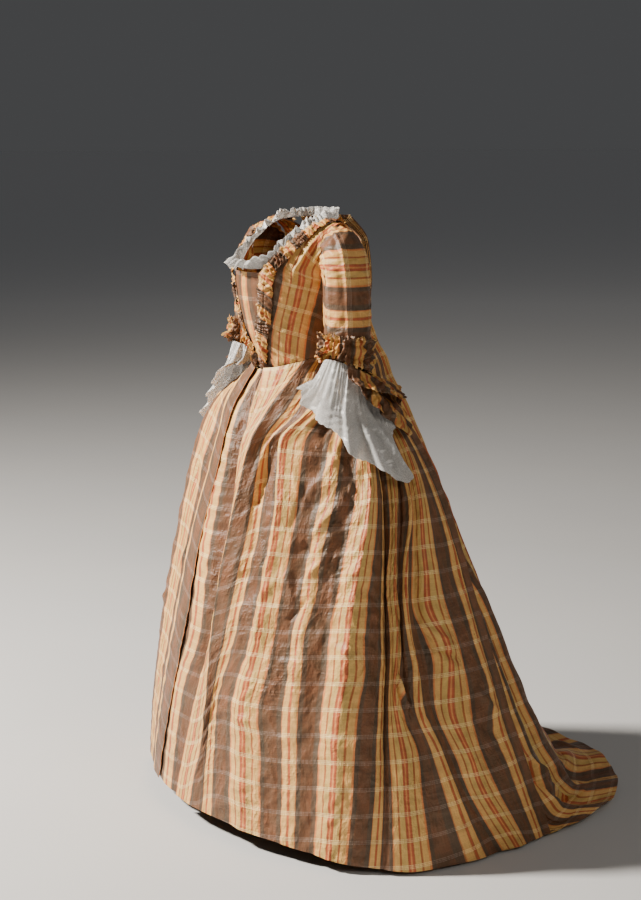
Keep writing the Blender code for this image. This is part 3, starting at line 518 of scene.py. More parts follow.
# Where the hanging cloth is pulled sideways, in millimetres: place (across, down), reach, pull
LEFT_PULLS = (
    (845, 660, 60, 55, -14), (845, 770, 60, 55, 14), (660, 700, 50, 60, 10),
    (660, 840, 50, 55, -14), (660, 980, 50, 60, 12), (940, 600, 50, 60, -12),
    (940, 860, 50, 60, 14), (740, 450, 60, 80, 10), (750, 900, 50, 55, -12), (750, 790, 50, 50, 10),
    (850, 900, 50, 55, -12), (850, 1010, 50, 50, 9), (940, 975, 40, 50, -9), (780, 600, 50, 60, -8),
    (580, 600, 50, 70, -7), (300, 620, 50, 50, 8), (300, 720, 50, 50, -8), (120, 550, 50, 60, -8),
    (120, 700, 50, 50, 8), (420, 800, 50, 50, 9), (200, 880, 60, 50, -9),
)


def creased(across, down, creases):
    """Height of the long soft creases of a table."""
    height = np.zeros_like(across)
    for x0, y0, x1, y1, width, rise in np.array(creases) / 1000:
        way_x, way_y = x1 - x0, y1 - y0
        share = ((across - x0) * way_x + (down - y0) * way_y) / (way_x ** 2 + way_y ** 2)
        inside = np.clip(share, 0, 1)
        off = np.hypot(across - x0 - inside * way_x, down - y0 - inside * way_y)
        height += rise * np.exp(-(off / width) ** 2) * np.sqrt(np.sin(np.pi * inside))
    return height


def mirrored(table, sign=1):
    """A table read from the other end, its places across and, with sign -1, its values negated."""
    return [(-row[0],) + tuple(sign * value for value in row[1:]) for row in table[::-1]]


for name, node, lines, rises, creases, columns, side, seam in (
        ("gown_skirt_left", "gown_skirt_L", LEFT_LINES, LEFT_RISES, LEFT_CREASES, 290, 1, -0.117),
        ("gown_skirt_right", "gown_skirt_R", mirrored(RIGHT_LINES, -1), mirrored(RIGHT_RISES),
         RIGHT_CREASES, 230, -1, -0.029)):
    points, place, length = hung(skirt_surface, lines, rises, SHARES, columns, SKIRT_ROWS)
    uneven = 0.45 + 1.1 * value_noise(place / 0.13, length / 0.19, 23)
    handled = at(HANDLED, 1, side * place) * uneven * np.clip(length / 0.06, 0, 1)
    relief = handled * (0.0015 * crumples(place, length, 0.030, 21)
                        + 0.0022 * crumples(place, length, 0.085, 22))
    points = raised(points, relief + creased(place, length, creases))
    if side > 0:
        to_right = unit(np.gradient(points, axis=1))
        for u, fallen, reach_across, reach_down, pull in np.array(LEFT_PULLS) / 1000:
            near = np.exp(-((place - u) / reach_across) ** 2 - ((length - fallen) / reach_down) ** 2)
            points = points + to_right * (pull * near)[:, :, None]
    skirt = cloth(name, points, np.stack([side * place + seam, length], -1), SKIRT_SILK, CLOTH)
    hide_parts(node)

# ---------------------------------------------------------------- the sack back and train
# Two stacked box pleats are stitched down from the neck to the shoulder blades, and from there
# their silk falls free in one piece with the train, which spreads on the floor behind.
# Rows, in thousandths: share of length, centre height and depth (metres), half width, edge depth
# and height, roundness
SACK_ROWS = np.array((
    (0, 1412, 80, 100, 45, 1409, 550), (35, 1360, 112, 118, 85, 1356, 550),
    (90, 1270, 124, 132, 75, 1266, 600), (150, 1160, 138, 124, 50, 1156, 800),
    (205, 1070, 184, 122, 40, 1066, 620), (228, 1030, 198, 152, 42, 1028, 900),
    (262, 970, 222, 226, 48, 972, 1250), (310, 892, 255, 291, 64, 895, 1800),
    (380, 770, 303, 357, 82, 775, 1950), (450, 640, 350, 392, 98, 645, 1850),
    (535, 485, 404, 437, 118, 490, 1300), (620, 330, 464, 476, 138, 335, 1260),
    (700, 190, 530, 508, 158, 195, 1220), (770, 85, 590, 524, 172, 90, 1100),
    (830, 30, 630, 530, 176, 30, 950), (900, 14, 695, 530, 174, 14, 850),
    (1000, 12, 790, 530, 172, 12, 750),
)) / 1000
SACK_SHARES = (0.000, 0.205, 0.480, 0.830, 1.000)
# Where the cloth lies: millimetres across it, then place from the centre (0) to the edge (1).
SACK_LINES = (
    (0, 0, 0, 0, 0, 0), (30, 0.19, 0.15, 0.09, 0.08, 0.08), (70, 0.44, 0.35, 0.165, 0.15, 0.15),
    (130, 0.48, 0.39, 0.275, 0.26, 0.26), (170, 0.74, 0.57, 0.345, 0.33, 0.33),
    (260, 0.78, 0.68, 0.48, 0.47, 0.47), (330, 0.84, 0.79, 0.58, 0.57, 0.57),
    (410, 0.9, 0.87, 0.69, 0.68, 0.68), (490, 0.94, 0.92, 0.8, 0.78, 0.78),
    (590, 0.97, 0.96, 0.89, 0.88, 0.88), (690, 1, 1, 1, 1, 1),
)
LEFT_SACK_RISES = (
    (0, 0, 0, -14, -10, 0), (5, 9, 9, -10, -7, 1), (30, 10, 12, 10, 12, 6),
    (70, 12, 18, 19, 20, 10), (110, 6, 9, 24, 24, 12), (128, 0, 0, 12, 13, 7), (145, 4, 4, 2, 4, 4),
    (175, 8, 6, -14, -6, 0), (262, 0, 2, 18, 22, 14), (272, 0, 1, 16, 20, 13),
    (330, 2, 3, -14, -6, 0), (410, 4, 8, 18, 22, 12), (490, 1, 3, -10, -4, 0),
    (590, 1, 0, -3, -3, 2), (690, 0, 0, 0, 0, 0),
)
RIGHT_SACK_RISES = (
    (5, 9, 9, -10, -7, 1), (35, 10, 12, 12, 14, 8), (70, 12, 17, 18, 19, 9),
    (110, 6, 9, 22, 22, 10), (128, 0, 0, 11, 13, 7), (145, 4, 4, 2, 4, 4), (175, 8, 6, -12, -5, 0),
    (262, 0, 2, 20, 24, 16), (272, 0, 1, 17, 21, 14), (340, 2, 3, -14, -6, 0),
    (420, 4, 8, 14, 18, 10), (500, 1, 3, -8, -4, 0), (590, 1, 0, -3, -3, 2), (690, 0, 0, 0, 0, 0),
)
SACK_CREASES = (            # of the sack, and the folded silk of the train
    (-475, 1390, -427, 1495, 11, -16), (-430, 1490, -320, 1575, 11, -14),
    (-505, 1440, -470, 1670, 22, 14), (-450, 1380, -365, 1500, 8, 13),
    (-375, 1490, -280, 1600, 8, 12), (-210, 1440, -60, 1600, 24, 16), (50, 1540, -70, 1625, 20, 15),
    (-300, 1480, -210, 1620, 14, -10), (-560, 1470, -560, 1640, 14, -9),
    (180, 1450, 100, 1620, 24, 14), (360, 1420, 300, 1660, 18, -12), (460, 1440, 470, 1680, 20, 13),
    (270, 1480, 230, 1650, 16, 10), (560, 1460, 570, 1640, 14, -8), (-20, 1300, -35, 1560, 16, -9),
    (-300, 700, -350, 1250, 18, 7), (250, 620, 330, 1180, 18, 7), (-500, 600, -560, 1150, 16, 6),
    (480, 650, 570, 1200, 16, -6), (60, 550, 40, 1050, 16, -6), (-160, 500, -200, 950, 16, -6),
)
TRAIN_HEIGHT = 0.0045       # the train's upper face lies at least this far above the floor


def sack_surface(place, share):
    """Points of the smooth sack back, place from 1 (left edge) to -1 (right edge)."""
    centre_z, centre_y, half_width, edge_y, edge_z, roundness = (
        at(SACK_ROWS, k, share) for k in range(1, 7))
    turn = place * math.pi / 2
    bow = np.clip(np.cos(turn), 0, None) ** roundness
    return np.stack([at(SKIRT_RINGS, 4, centre_z) + half_width * np.sin(turn),
                     edge_y + (centre_y - edge_y) * bow, edge_z + (centre_z - edge_z) * bow], -1)


lines = mirrored(SACK_LINES)
lines += mirrored(lines, -1)[1:]
rises = mirrored(LEFT_SACK_RISES) + list(RIGHT_SACK_RISES)
points, place, length = hung(sack_surface, lines, rises, SACK_SHARES, 280, 165)
points = raised(points, 0.0026 * crumples(place, length, 0.080, 31) + creased(place, length, SACK_CREASES))
points[:, :, 2] = np.maximum(points[:, :, 2], TRAIN_HEIGHT)
sack = cloth("sack_and_train", points, np.stack([place * 1.052 + 0.160, length], -1), SKIRT_SILK, CLOTH)
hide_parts("sack_back")

# ---------------------------------------------------------------- the fitted bodice
# The bodice is close-fitted over stays. Its back panel lies hidden under the sack; each front
# runs in one piece over the shoulder as a strap, its stripes falling from strap to waist.
BODICE_RINGS = np.array((   # height, half width, front depth, back depth
    (1063, 124, 117, 90), (1100, 127, 128, 90), (1160, 136, 148, 94), (1230, 151, 162, 100),
    (1262, 160.5, 165, 103), (1290, 166.5, 164, 104), (1335, 173, 140, 101), (1360, 175, 113, 93),
    (1375, 176, 93, 83), (1395, 173, 46, 48), (1405, 170, 1, 1),
)) / 1000
ROBING_LINE = np.array((    # height, distance of the gathered trim from the centre front
    (1063, 17), (1100, 23), (1160, 48), (1220, 66), (1290, 80), (1335, 104), (1375, 118),
    (1405, 122),
)) / 1000
BAND_LINE = np.array((      # height, distance of the wide band's middle from the centre front
    (1060, 73), (1110, 85), (1184, 108), (1252, 131), (1344, 149), (1405, 156),
)) / 1000
BAND_MIDDLE = 0.044         # the wide band's middle, from the start of the plaid's repeat
ARMHOLE_X, ARMPIT_HEIGHT, STRAP_END, STRAP_INSET = 0.1605, 1.262, 1.360, 0.0160
ROBING_SEAM, NECK_FRONT, SEAM_GAP, SIDE_SEAM_GAP, STRAP_GAP = 0.0010, 1.290, 0.0004, 0.0007, 0.0008
SIDES = ((1, "left", "L"), (-1, "right", "R"))


def trim_line(height):
    return at(ROBING_LINE, 1, height)


def bodice_point(side, height, x, back=False):
    """Point of the fitted bodice at a height and a distance x from its centre."""
    depth = at(BODICE_RINGS, 3 if back else 2, height)
    y = depth * math.sqrt(max(0.0, 1 - (x / at(BODICE_RINGS, 1, height)) ** 2))
    return np.array([side * x, y if back else -y, height])


def refined(rows, row_count, column_count, closed=False):
    """A finer smooth grid through the points of a coarse one."""
    def through(values, places):
        index = np.clip(np.floor(places).astype(int), 0, len(values) - 2)
        t = (places - index)[:, None, None]
        before, a = values[np.clip(index - 1, 0, None)], values[index]
        b, after = values[index + 1], values[np.clip(index + 2, None, len(values) - 1)]
        return a + 0.5 * t * (b - before + t * (2 * before - 5 * a + 4 * b - after
                                                + t * (3 * (a - b) + after - before)))
    grid = np.array(rows, float)
    first, last = 0, grid.shape[1] - 1
    if closed:
        grid = np.concatenate([grid[:, -1:], grid, grid[:, :2]], axis=1)
        first, last = 1, last + 2
    grid = through(grid, np.linspace(0, len(grid) - 1, row_count))
    return through(grid.swapaxes(0, 1), np.linspace(first, last, column_count)).swapaxes(0, 1)


def measured(points):
    """Metres of cloth across and down to each point of a grid."""
    return lengths_down(points.swapaxes(0, 1)).T, lengths_down(points)


def facing(side, *grids):
    """Grids made for the left, for either side: on the right their columns are turned round."""
    return grids if side > 0 else [grid[:, ::-1] for grid in grids]


def side_seam(half_width):
    """Turn round the body where a bodice panel ends under the arm."""
    return math.asin(min(1.0, ARMHOLE_X / half_width)) - SIDE_SEAM_GAP / half_width


# the bodice silk, for the bodice, false front and sleeves, is darkened as painted shade, for the partial
# shade these pieces lie in
BODICE_SILK = silk("plaid_taffeta_bodice", 0.80, (0.90, 0.86, 0.82))

rows = []
for height in (STRAP_END - STRAP_GAP, 1.335, 1.300, 1.262, 1.210, 1.150, WAIST_SIDE + SEAM_GAP):
    half_width = at(BODICE_RINGS, 1, height)
    rows.append([bodice_point(1, height, half_width * math.sin(turn), True)
                 for turn in np.linspace(side_seam(half_width), -side_seam(half_width), 12)])
points = refined(rows, 60, 70)
place, length = measured(points)
points = raised(points, 0.0005 * crumples(place, length, 0.03, 41))
back_panel = cloth("bodice_back_panel", points, np.stack([place, length], -1), BODICE_SILK, CLOTH)
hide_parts("bodice_back")

# The pleats and pulls of each front, as above: across the stripes and below the shoulder
BODICE_CREASES = (
    (39, 35, 22, 145, 5, 4.5), (47, 40, 31, 145, 5, -3.5), (82, 25, 58, 95, 5, 4.5),
    (90, 30, 67, 100, 5, -3.5), (82, 246, 116, 274, 4, -3), (74, 232, 114, 258, 5, 2.5),
    (70, 208, 120, 220, 6, -2.5), (20, 215, 60, 200, 6, 2), (10, 160, 55, 175, 6, -2),
    (0, 262, 40, 245, 6, 2), (60, 150, 100, 135, 7, 2),
)
for side, name, letter in SIDES:
    rows = []
    for height in (STRAP_END + STRAP_GAP, 1.375, 1.395):
        rows.append([bodice_point(side, height, x, True)
                     for x in np.linspace(trim_line(height) - STRAP_INSET, ARMHOLE_X, 6)])
    rows.append([np.array([side * x, 0.0, SHOULDER_HEIGHT])
                 for x in np.linspace(trim_line(SHOULDER_HEIGHT) - STRAP_INSET, ARMHOLE_X, 6)])
    for height in (1.395, 1.375, 1.345, 1.315, NECK_FRONT + ROBING_SEAM):
        inset = STRAP_INSET if height > 1.30 else -ROBING_SEAM
        rows.append([bodice_point(side, height, x)
                     for x in np.linspace(trim_line(height) - inset, ARMHOLE_X, 6)])
    panel_top = ARMPIT_HEIGHT + 0.018
    for share in (0.16, 0.34, 0.52, 0.70, 0.86, 1.0):
        row = []
        for step in np.linspace(0, 1, 6):
            waist = WAIST_SIDE
            for _ in range(6):          # settles on the waist's height where this line of it ends
                height = panel_top + share * (waist + SEAM_GAP - panel_top)
                half_width = at(BODICE_RINGS, 1, height)
                inner = math.asin((trim_line(height) + ROBING_SEAM) / half_width)
                turn = inner + step * (side_seam(half_width) - inner)
                waist = WAIST_SIDE - (WAIST_SIDE - WAIST_FRONT) * max(0.0, math.cos(turn)) ** 2
            row.append(bodice_point(side, height, half_width * math.sin(turn)))
        rows.append(row)
    points = refined(rows, 130, 60)
    arc, length = measured(points)
    band = at(BAND_LINE, 1, points[:, :, 2])
    offset = np.array([np.interp(np.median(band[k]), np.abs(points[k, :, 0]), arc[k])
                       for k in range(len(points))])
    place = arc - offset[:, None] + BAND_MIDDLE
    relief = (0.0012 * crumples(place, length, 0.035, 43)
              + creased(place, SHOULDER_HEIGHT - points[:, :, 2], BODICE_CREASES))
    points, place, length, relief = facing(side, points, place, length, relief)
    front = cloth("bodice_front_" + name, raised(points, relief), np.stack([place, length], -1),
                  BODICE_SILK, CLOTH)
    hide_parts("bodice_front_" + letter)

# ---------------------------------------------------------------- the false front
# Two stiffened halves of brown silk fill the gap between the bodice fronts. They meet edge to
# edge at the centre, where a yellow band of the plaid is left showing as a stitched border.
BORDER, BAND_EDGE, BROWN_SHARE = 0.0085, 0.0858, 0.60    # yellow border, and the brown beside it
STITCH_LINE, STITCH, ROLL_LINE = 0.0075, 0.006, 0.0035   # from the centre edge, and stitch length
for side, name, letter in SIDES:
    rows = []
    for height in np.linspace(NECK_FRONT, WAIST_FRONT + SEAM_GAP, 9):
        rows.append([bodice_point(side, height, x)
                     for x in np.linspace(SEAM_GAP / 2, trim_line(height) - ROBING_SEAM, 5)])
    points = refined(rows, 110, 50)
    place, length = measured(points)
    stitches = (np.exp(-((place - STITCH_LINE) / 0.0012) ** 2)
                * (0.5 + 0.5 * np.sin(length * 2 * math.pi / STITCH)))
    relief = (0.0009 * crumples(place, length, 0.030, 51) * np.clip(place / 0.02, 0, 1)
              + 0.0012 * np.exp(-((place - ROLL_LINE) / 0.0030) ** 2) - 0.0006 * stitches)
    points, place, length, relief = facing(side, points, place, length, relief)
    inward = np.where(place < BORDER, place, BORDER + (place - BORDER) * BROWN_SHARE) + BAND_EDGE - BORDER
    half = cloth("false_front_" + name, raised(points, relief), np.stack([inward, length], -1),
                 BODICE_SILK, CLOTH)
    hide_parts("false_front_" + letter)

# ---------------------------------------------------------------- the sleeves
# A close sleeve reaches the elbow, its stripes running round the arm. Small tucks ease its head
# into the armhole, and a pressed fold runs down its outer side.
SLEEVE_RINGS = np.array((   # x, y, height, half depth, half width, lean out, lean forward (degrees)
    (0.1612, -0.006, 1.33, 0.047, 0.068, 90, 0), (0.181, -0.008, 1.3235, 0.053, 0.069, 74, 0),
    (0.202, -0.01, 1.3, 0.056, 0.062, 54, 0), (0.2105, -0.012, 1.269, 0.056, 0.056, 34, 0),
    (0.2145, -0.013, 1.215, 0.0545, 0.054, 8, 0), (0.2175, -0.014, 1.165, 0.053, 0.0535, 3, 5),
    (0.222, -0.018, 1.112, 0.052, 0.053, 3, 18),
))
SLEEVE_RADIUS, SLEEVE_ROWS, SLEEVE_COLUMNS = 0.054, 120, 150
WIDE_BAND_HEIGHT = 1.309    # middle of the wide band, above the floor
PRESSED_FOLD = 1.05         # turn round the arm from the front, in radians


def arm_axes(side, lean_out, lean_forward):
    """The ring axes round the arm, towards the front and the outside."""
    out, forward = math.radians(lean_out), math.radians(lean_forward)
    down = np.array([math.sin(out), -math.sin(forward) * math.cos(out),
                     -math.cos(forward) * math.cos(out)])
    front = np.array([0.0, -1.0, 0.0])
    front = unit(front - down * front.dot(down))
    mirror = np.array([side, 1.0, 1.0])
    return front * mirror, np.cross(front, down) * mirror


def arm_tube(side, rings, row_count, column_count):
    """Grid of points round the arm, through the rings of a table, and each point's turn."""
    numbers = np.arange(len(rings))
    turns = np.linspace(0, 2 * math.pi, column_count)
    points = np.empty((row_count, column_count, 3))
    for k, place in enumerate(np.linspace(0, len(rings) - 1, row_count)):
        x, y, height, half_depth, half_width, out, forward = (
            float(curve(numbers, rings[:, column], place)) for column in range(7))
        front, outside = arm_axes(side, out, forward)
        points[k] = (np.array([side * x, y, height]) + np.cos(turns)[:, None] * front * half_depth
                     + np.sin(turns)[:, None] * outside * half_width)
    return facing(side, points, np.repeat(turns[None, :], row_count, axis=0))


for side, name, letter in SIDES:
    points, turns = arm_tube(side, SLEEVE_RINGS, SLEEVE_ROWS, SLEEVE_COLUMNS)
    length = lengths_down(points)
    middle = np.array([np.interp(-WIDE_BAND_HEIGHT, -points[:, k, 2], length[:, k])
                       for k in range(SLEEVE_COLUMNS)])
    place = length - middle[None, :] + BAND_MIDDLE
    tucks = np.clip(1 - length / 0.055, 0, 1) * np.sin(turns * 17 + 2 * np.sin(turns * 3))
    pressed = np.exp(-((turns - PRESSED_FOLD) / 0.07) ** 2)
    relief = 0.0020 * crumples(place, turns * SLEEVE_RADIUS, 0.030, 61) + 0.0020 * tucks + 0.0040 * pressed
    sleeve = cloth("sleeve_" + name, raised(points, relief, True),
                   np.stack([place, turns * SLEEVE_RADIUS], -1), BODICE_SILK, CLOTH, closed=True)
    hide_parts("sleeve_" + letter)

# ---------------------------------------------------------------- the gathered trim of the fronts
# A pinked strip of the plaid, cut across the stripes and gathered down both edges and the
# middle, hides the seam of each front from the back neck to the waist point.
ROBING_HALF_WIDTH, ROBING_LIFT, TRIM = 0.0175, 0.0070, 0.0012       # TRIM is its thickness
TRIM_BAND_HEIGHT, GATHER = 1.280, 1.35     # middle of a wide band; cloth to trim length
TRIM_SILK = silk("plaid_taffeta_trim", 1.0, (0.82, 0.76, 0.66))
for side, name, letter in SIDES:
    rows = []
    stations = [(1.398, True), (SHOULDER_HEIGHT, False)]
    stations += [(height, False) for height in np.linspace(1.395, WAIST_FRONT + 0.002, 20)]
    for height, back in stations:
        narrowing = min(1.0, 0.55 + (height - WAIST_FRONT) * 9)
        row = []
        for step in (-1.0, -0.5, 0.0, 0.5, 1.0):
            x = max(SEAM_GAP, trim_line(height) + step * ROBING_HALF_WIDTH * narrowing)
            point = bodice_point(side, height, x, back)
            width = at(BODICE_RINGS, 1, height)
            depth = max(0.02, at(BODICE_RINGS, 3 if back else 2, height))
            tilt = 8 * max(0.0, (height - 1.33) / 0.05)
            outward = np.array([side * x / width ** 2, point[1] / depth ** 2, tilt])
            if height > 1.40:
                outward = np.array([0.0, 0.0, 1.0])
            row.append(point + unit(outward) * ROBING_LIFT)
        rows.append(row)
    points = refined(rows, 330, 36)
    width, length = measured(points)
    edge = np.abs(2 * width / width[:, -1:] - 1)
    puffs = crumples(length, width, 0.0090, 71 + side, 1.8)
    frill = np.sin(length / 0.0042 + 5 * value_noise(length / 0.02, width * 0, 73)) * edge ** 3
    relief = (0.0042 * puffs + 0.0030 * frill + 0.0015 * (1 - edge ** 2)
              - 0.0012 * np.exp(-(edge / 0.10) ** 2))
    wide_band = np.interp(-TRIM_BAND_HEIGHT, -points[8:, 18, 2], length[8:, 18])
    flat_map = np.stack([(length - wide_band) * GATHER + BAND_MIDDLE, width], -1)
    points, relief, flat_map = facing(side, points, relief, flat_map)
    robing = cloth("gathered_robing_" + name, raised(points, relief), flat_map, TRIM_SILK, TRIM)
    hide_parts("robing_trim_" + letter)

# ---------------------------------------------------------------- the gathered bands of the sleeves
# The same kind of strip, wider and fuller, is gathered round the end of each sleeve with two
# rows of running stitch. Its edges are pinked and stand out in ragged tufts.
CUFF_RINGS = np.array((
    (0.219, -0.015, 1.15, 0.06, 0.061, 3, 8), (0.2215, -0.018, 1.122, 0.062, 0.063, 3, 15),
    (0.2235, -0.026, 1.085, 0.064, 0.065, 3, 27),
))
CUFF_RADIUS, FULLNESS, CUFF_STRIPE = 0.062, 1.5, 0.018   # the last places the stripes round the arm
for side, name, letter in SIDES:
    points, turns = arm_tube(side, CUFF_RINGS, 64, 300)
    length = lengths_down(points)
    share = length / length[-1:]
    wrapped = np.minimum(turns, 2 * math.pi - turns)     # meets itself at the front seam
    puffs = crumples(wrapped * CUFF_RADIUS, length, 0.014, 81, 1.8)
    frill = np.sin(turns * 27 + 2.5 * np.sin(turns * 5)) + 0.6 * np.sin(turns * 61)
    gathers = np.exp(-((share - 0.30) / 0.07) ** 2) + np.exp(-((share - 0.72) / 0.07) ** 2)
    relief = 0.0078 * puffs + 0.0040 * frill * (2 * share - 1) ** 2 + 0.0030 - 0.0045 * gathers
    points = raised(points, relief, True)
    ragged = (value_noise(wrapped * 9.0, share * 2, 84) + 0.7 * value_noise(wrapped * 31.0, share * 3, 85)
              - 0.75)
    points[:, :, 2] += (0.0100 * ragged * (2 * share - 1) ** 3
                        - 0.0060 * np.exp(-((wrapped - 1.2) / 0.45) ** 2) * share ** 2)
    flat_map = np.stack([turns * CUFF_RADIUS * FULLNESS + CUFF_STRIPE, length], -1)
    ruche = cloth("sleeve_ruche_" + name, points, flat_map, TRIM_SILK, TRIM, closed=True)
    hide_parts("cuff_ruche_" + letter)

# ---------------------------------------------------------------- the lace frills of the elbows
# A deep frill of fine white figured lace is gathered to each sleeve, short over the forearm and
# long behind the elbow, with a scalloped edge. It hangs in soft folds of its own.
LACE_RADIUS, FRILL_LEAN, FRILL_AXIS = 0.0430, 24, (0.240, 0.000)
FRILL_RING = np.array((0.2238, -0.0295, 1.0835))
LACE_THICKNESS, SCALLOP = 0.0008, 0.018
# Rows: angle round the arm (degrees), then the points half way down and at the free edge, in
# millimetres
LACE_EDGE = (
    (-10, 213, -98, 1052, 207, -138, 1028), (8, 224, -96, 1042, 226, -128, 998),
    (35, 248, -84, 1022, 268, -112, 972), (60, 268, -66, 1002, 312, -95, 945),
    (85, 276, -44, 990, 350, -68, 897), (108, 279, -20, 982, 380, -20, 866),
    (125, 279, -4, 980, 394, 18, 838), (140, 275, 7, 986, 386, 44, 858),
    (155, 260, 8, 1000, 338, 48, 922), (175, 242, 9, 1030, 278, 42, 988),
    (205, 218, 10, 1060, 222, 22, 1034), (250, 190, -20, 1068, 192, -14, 1048),
    (320, 192, -70, 1062, 190, -86, 1050), (350, 213, -98, 1052, 207, -138, 1028),
)

LACE, m, shader = material_of("white_figured_lace")
cloth_map = m.put("UVMap", {}, uv_map="cloth").outputs["UV"]
sprigs = m.put("TexVoronoi", {"Vector": cloth_map, "Scale": 52.0}).outputs["Distance"]
figure = m.ramp(m.plus(sprigs, m.times(m.noise(cloth_map, 230.0), 0.55)), [(0.50, 1.0), (0.58, 0.0)])
net = m.put("TexVoronoi", {"Vector": cloth_map, "Scale": 750.0}, feature="DISTANCE_TO_EDGE")
solid = m.maths("MAXIMUM", figure, m.ramp(net.outputs["Distance"], [(0.05, 1.0), (0.22, 0.0)]))
relief = m.put("Bump", {"Strength": 0.9, "Distance": 0.0016, "Height": solid})
m.feed(shader, {
    "Base Color": m.mixed(solid, (0.70, 0.70, 0.66, 1), (0.97, 0.96, 0.92, 1)),
    "Alpha": m.ramp(solid, [(0.0, 0.58), (1.0, 0.98)]),
    "Roughness": m.ramp(m.noise(cloth_map, 90.0), [(0.3, 0.60), (0.7, 0.80)]),
    "Normal": relief.outputs["Normal"], "Sheen Weight": 0.3,
    "Subsurface Weight": 0.5, "Subsurface Radius": (1.0, 1.0, 1.0),     # light shines through it
    "Subsurface Scale": 0.003})


def frill_grid(side, table, radius, row_count, column_count):
    """Grid of an elbow frill from its gathered ring to its free edge, the way out from the arm
    at each column, its angles and the share of the way down."""
    table = np.array(table, float)
    table[:, 1:] /= 1000
    front, outside = arm_axes(1, 3, FRILL_LEAN)
    angles = np.linspace(table[0, 0], table[-1, 0], column_count)
    turns = np.radians(angles)
    start = FRILL_RING + radius * (np.cos(turns)[:, None] * front + np.sin(turns)[:, None] * outside)
    middle, edge = (np.stack([at(table, column, angles) for column in columns], -1)
                    for columns in ((1, 2, 3), (4, 5, 6)))
    points = refined([start, middle, (middle + edge) / 2, edge], row_count, column_count)
    radial = edge - (*FRILL_AXIS, 0.0)
    radial[:, 2] = 0.0
    mirror = np.array([side, 1.0, 1.0])
    return points * mirror, unit(radial) * mirror, angles[None, :], np.linspace(0, 1, row_count)[:, None]


def edged(points, drop, share):
    """The free edge let down or drawn up along the cloth, by a length for each column."""
    return points + unit(points[-1] - points[-4]) * (drop * share ** 5)[:, :, None]


for side, name, letter in SIDES:
    points, radial, angles, share = frill_grid(side, LACE_EDGE, LACE_RADIUS, 80, 300)
    turns = np.radians(angles)
    width, length = measured(points)
    broad = np.sin(11 * turns + 1.2 * np.sin(3 * turns + 0.6))
    waves = np.sign(broad) * np.abs(broad) ** 0.7 + 0.18 * np.sin(21 * turns + 2 * np.sin(4 * turns))
    waves = waves * (0.45 + 0.55 / (1 + np.exp((62 - angles) / 9)))
    gathers = 0.0016 * np.sin(36 * turns + 3 * np.sin(6 * turns)) * (1 - share) ** 2
    clear = 0.0200 * share ** 0.8 * np.exp(-((angles - 85) / 48) ** 2)      # of the skirt
    points = points + radial * (0.0125 * waves * share ** 0.8 + gathers + clear)[:, :, None]
    points = raised(points, 0.0012 * crumples(width, length, 0.03, 91) * share * (1 - share) * 4, True)
    drop = 0.0035 * np.abs(np.sin(width[-1] / SCALLOP * math.pi)) - 0.002 + 0.0035 * waves[0]
    points, flat_map = facing(side, edged(points, drop, share), np.stack([width, length], -1))
    frill = cloth("lace_frill_" + name, points, flat_map, LACE, LACE_THICKNESS, closed=True)
    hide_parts("lace_frill_" + letter)

# ---------------------------------------------------------------- the pinked flounces of the elbows
# Two short flounces of the plaid, with pinked scalloped edges, stand out behind the elbow over
# the lace. Each table is as the lace's.
UPPER_FLOUNCE = (
    (70, 280, -50, 1066, 304, -52, 1056), (95, 288, -20, 1062, 318, -18, 1042),
    (125, 288, 22, 1052, 316, 44, 1024), (148, 276, 46, 1046, 296, 96, 1008),
    (165, 252, 58, 1048, 262, 118, 1013), (188, 222, 54, 1058, 220, 94, 1042),
    (215, 196, 32, 1070, 186, 52, 1064),
)
LOWER_FLOUNCE = (
    (85, 284, -24, 1052, 298, -22, 1026), (105, 291, -2, 1040, 306, 4, 1000),
    (123, 294, 20, 1026, 316, 40, 966), (138, 290, 42, 1010, 330, 82, 928),
    (152, 272, 54, 1010, 312, 112, 940), (172, 242, 48, 1024, 264, 104, 990),
    (200, 212, 37, 1048, 214, 70, 1036),
)
PINKED_SCALLOP, PINK = 0.024, 0.0045
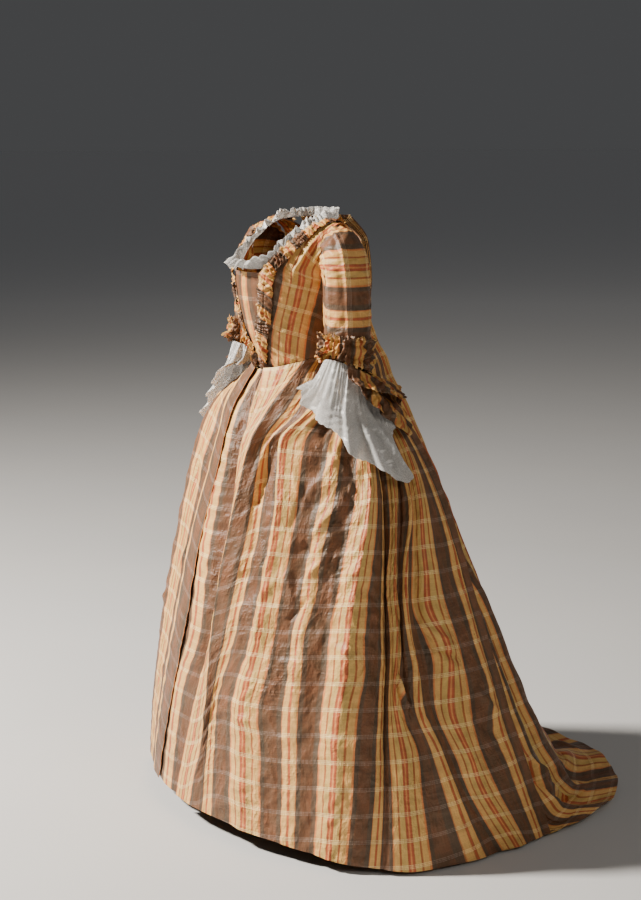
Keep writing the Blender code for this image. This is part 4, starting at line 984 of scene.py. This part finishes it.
for level, table, radius in (("upper", UPPER_FLOUNCE, 0.0565), ("lower", LOWER_FLOUNCE, 0.0500)):
    for side, name, letter in SIDES:
        points, radial, angles, share = frill_grid(side, table, radius, 50, 170)
        turns = np.radians(angles)
        width, length = measured(points)
        waves = np.sin(11 * turns + 1.8 * np.sin(4 * turns + radius * 90)) + 0.45 * np.sin(33 * turns)
        points = points + radial * (0.0080 * waves * share ** 0.8)[:, :, None]
        points = raised(points, 0.0024 * crumples(width, length, 0.022, 95))
        pinks = (0.004 * np.abs(np.sin(width[-1] / PINKED_SCALLOP * math.pi))
                 + 0.0016 * np.abs(np.sin(width[-1] / PINK * math.pi)) - 0.003)
        flat_map = np.stack([width * 1.3 + 0.10, length], -1)
        points, flat_map = facing(side, edged(points, pinks, share), flat_map)
        flounce = cloth("flounce_" + level + "_" + name, points, flat_map, TRIM_SILK, 0.0009)
        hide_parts("flounce_" + level + "_" + letter)

# ---------------------------------------------------------------- the neck frill
# A narrow frill of the same lace is whipped inside the neck opening and stands up round it.
NECK_LINE = (       # point on the neckline, then top, fold and free edge outwards and up, in mm
    (0, -157, 1296, 13, 14, 26, 17, 38, 4), (30, -154, 1297, 11, 15, 24, 19, 35, 8),
    (58, -142, 1302, 5, 15, 12, 23, 20, 20), (76, -120, 1324, -2, 13, -1, 23, 0, 31),
    (88, -92, 1354, -7, 11, -12, 20, -16, 29), (98, -55, 1382, -8, 9, -16, 16, -23, 24),
    (101, -20, 1401, -8, 9, -15, 15, -22, 21), (99, 10, 1408, -6, 9, -11, 15, -15, 20),
    (87, 37, 1411, -4, 9, -6, 15, -7, 20), (50, 62, 1413, -2, 9, -3, 15, -3, 21),
    (0, 69, 1414, -1, 9, -2, 15, -2, 21),
)
rows = [[], [], [], []]
for row in list(NECK_LINE) + [(-row[0],) + row[1:] for row in NECK_LINE[-2:0:-1]]:
    row = np.array(row) / 1000
    out = unit(np.array([row[0], row[1] + 0.02, 0.0]))
    rows[0].append(row[:3])
    for k in (1, 2, 3):
        rows[k].append(row[:3] + out * row[1 + 2 * k] + np.array([0, 0, row[2 + 2 * k]]))
points = refined(rows[::-1], 40, 420, closed=True)
width, length = measured(points)
share = np.linspace(1, 0, 40)[:, None]
turns = np.linspace(0, 2 * math.pi, 420)
waves = np.sin(19 * turns + 2.4 * np.sin(5 * turns)) + 0.5 * np.sin(47 * turns + 2 * np.sin(7 * turns))
points = raised(points, 0.0072 * waves * share ** 0.8, True)
lift = 0.003 * np.abs(np.sin(turns * 26)) - 0.0018
points = points + unit(points[0] - points[4]) * (lift * share ** 4)[:, :, None]
ruffle = cloth("lace_neck_frill", points, np.stack([width, length], -1), LACE, LACE_THICKNESS, closed=True)
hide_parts("neck_frill")
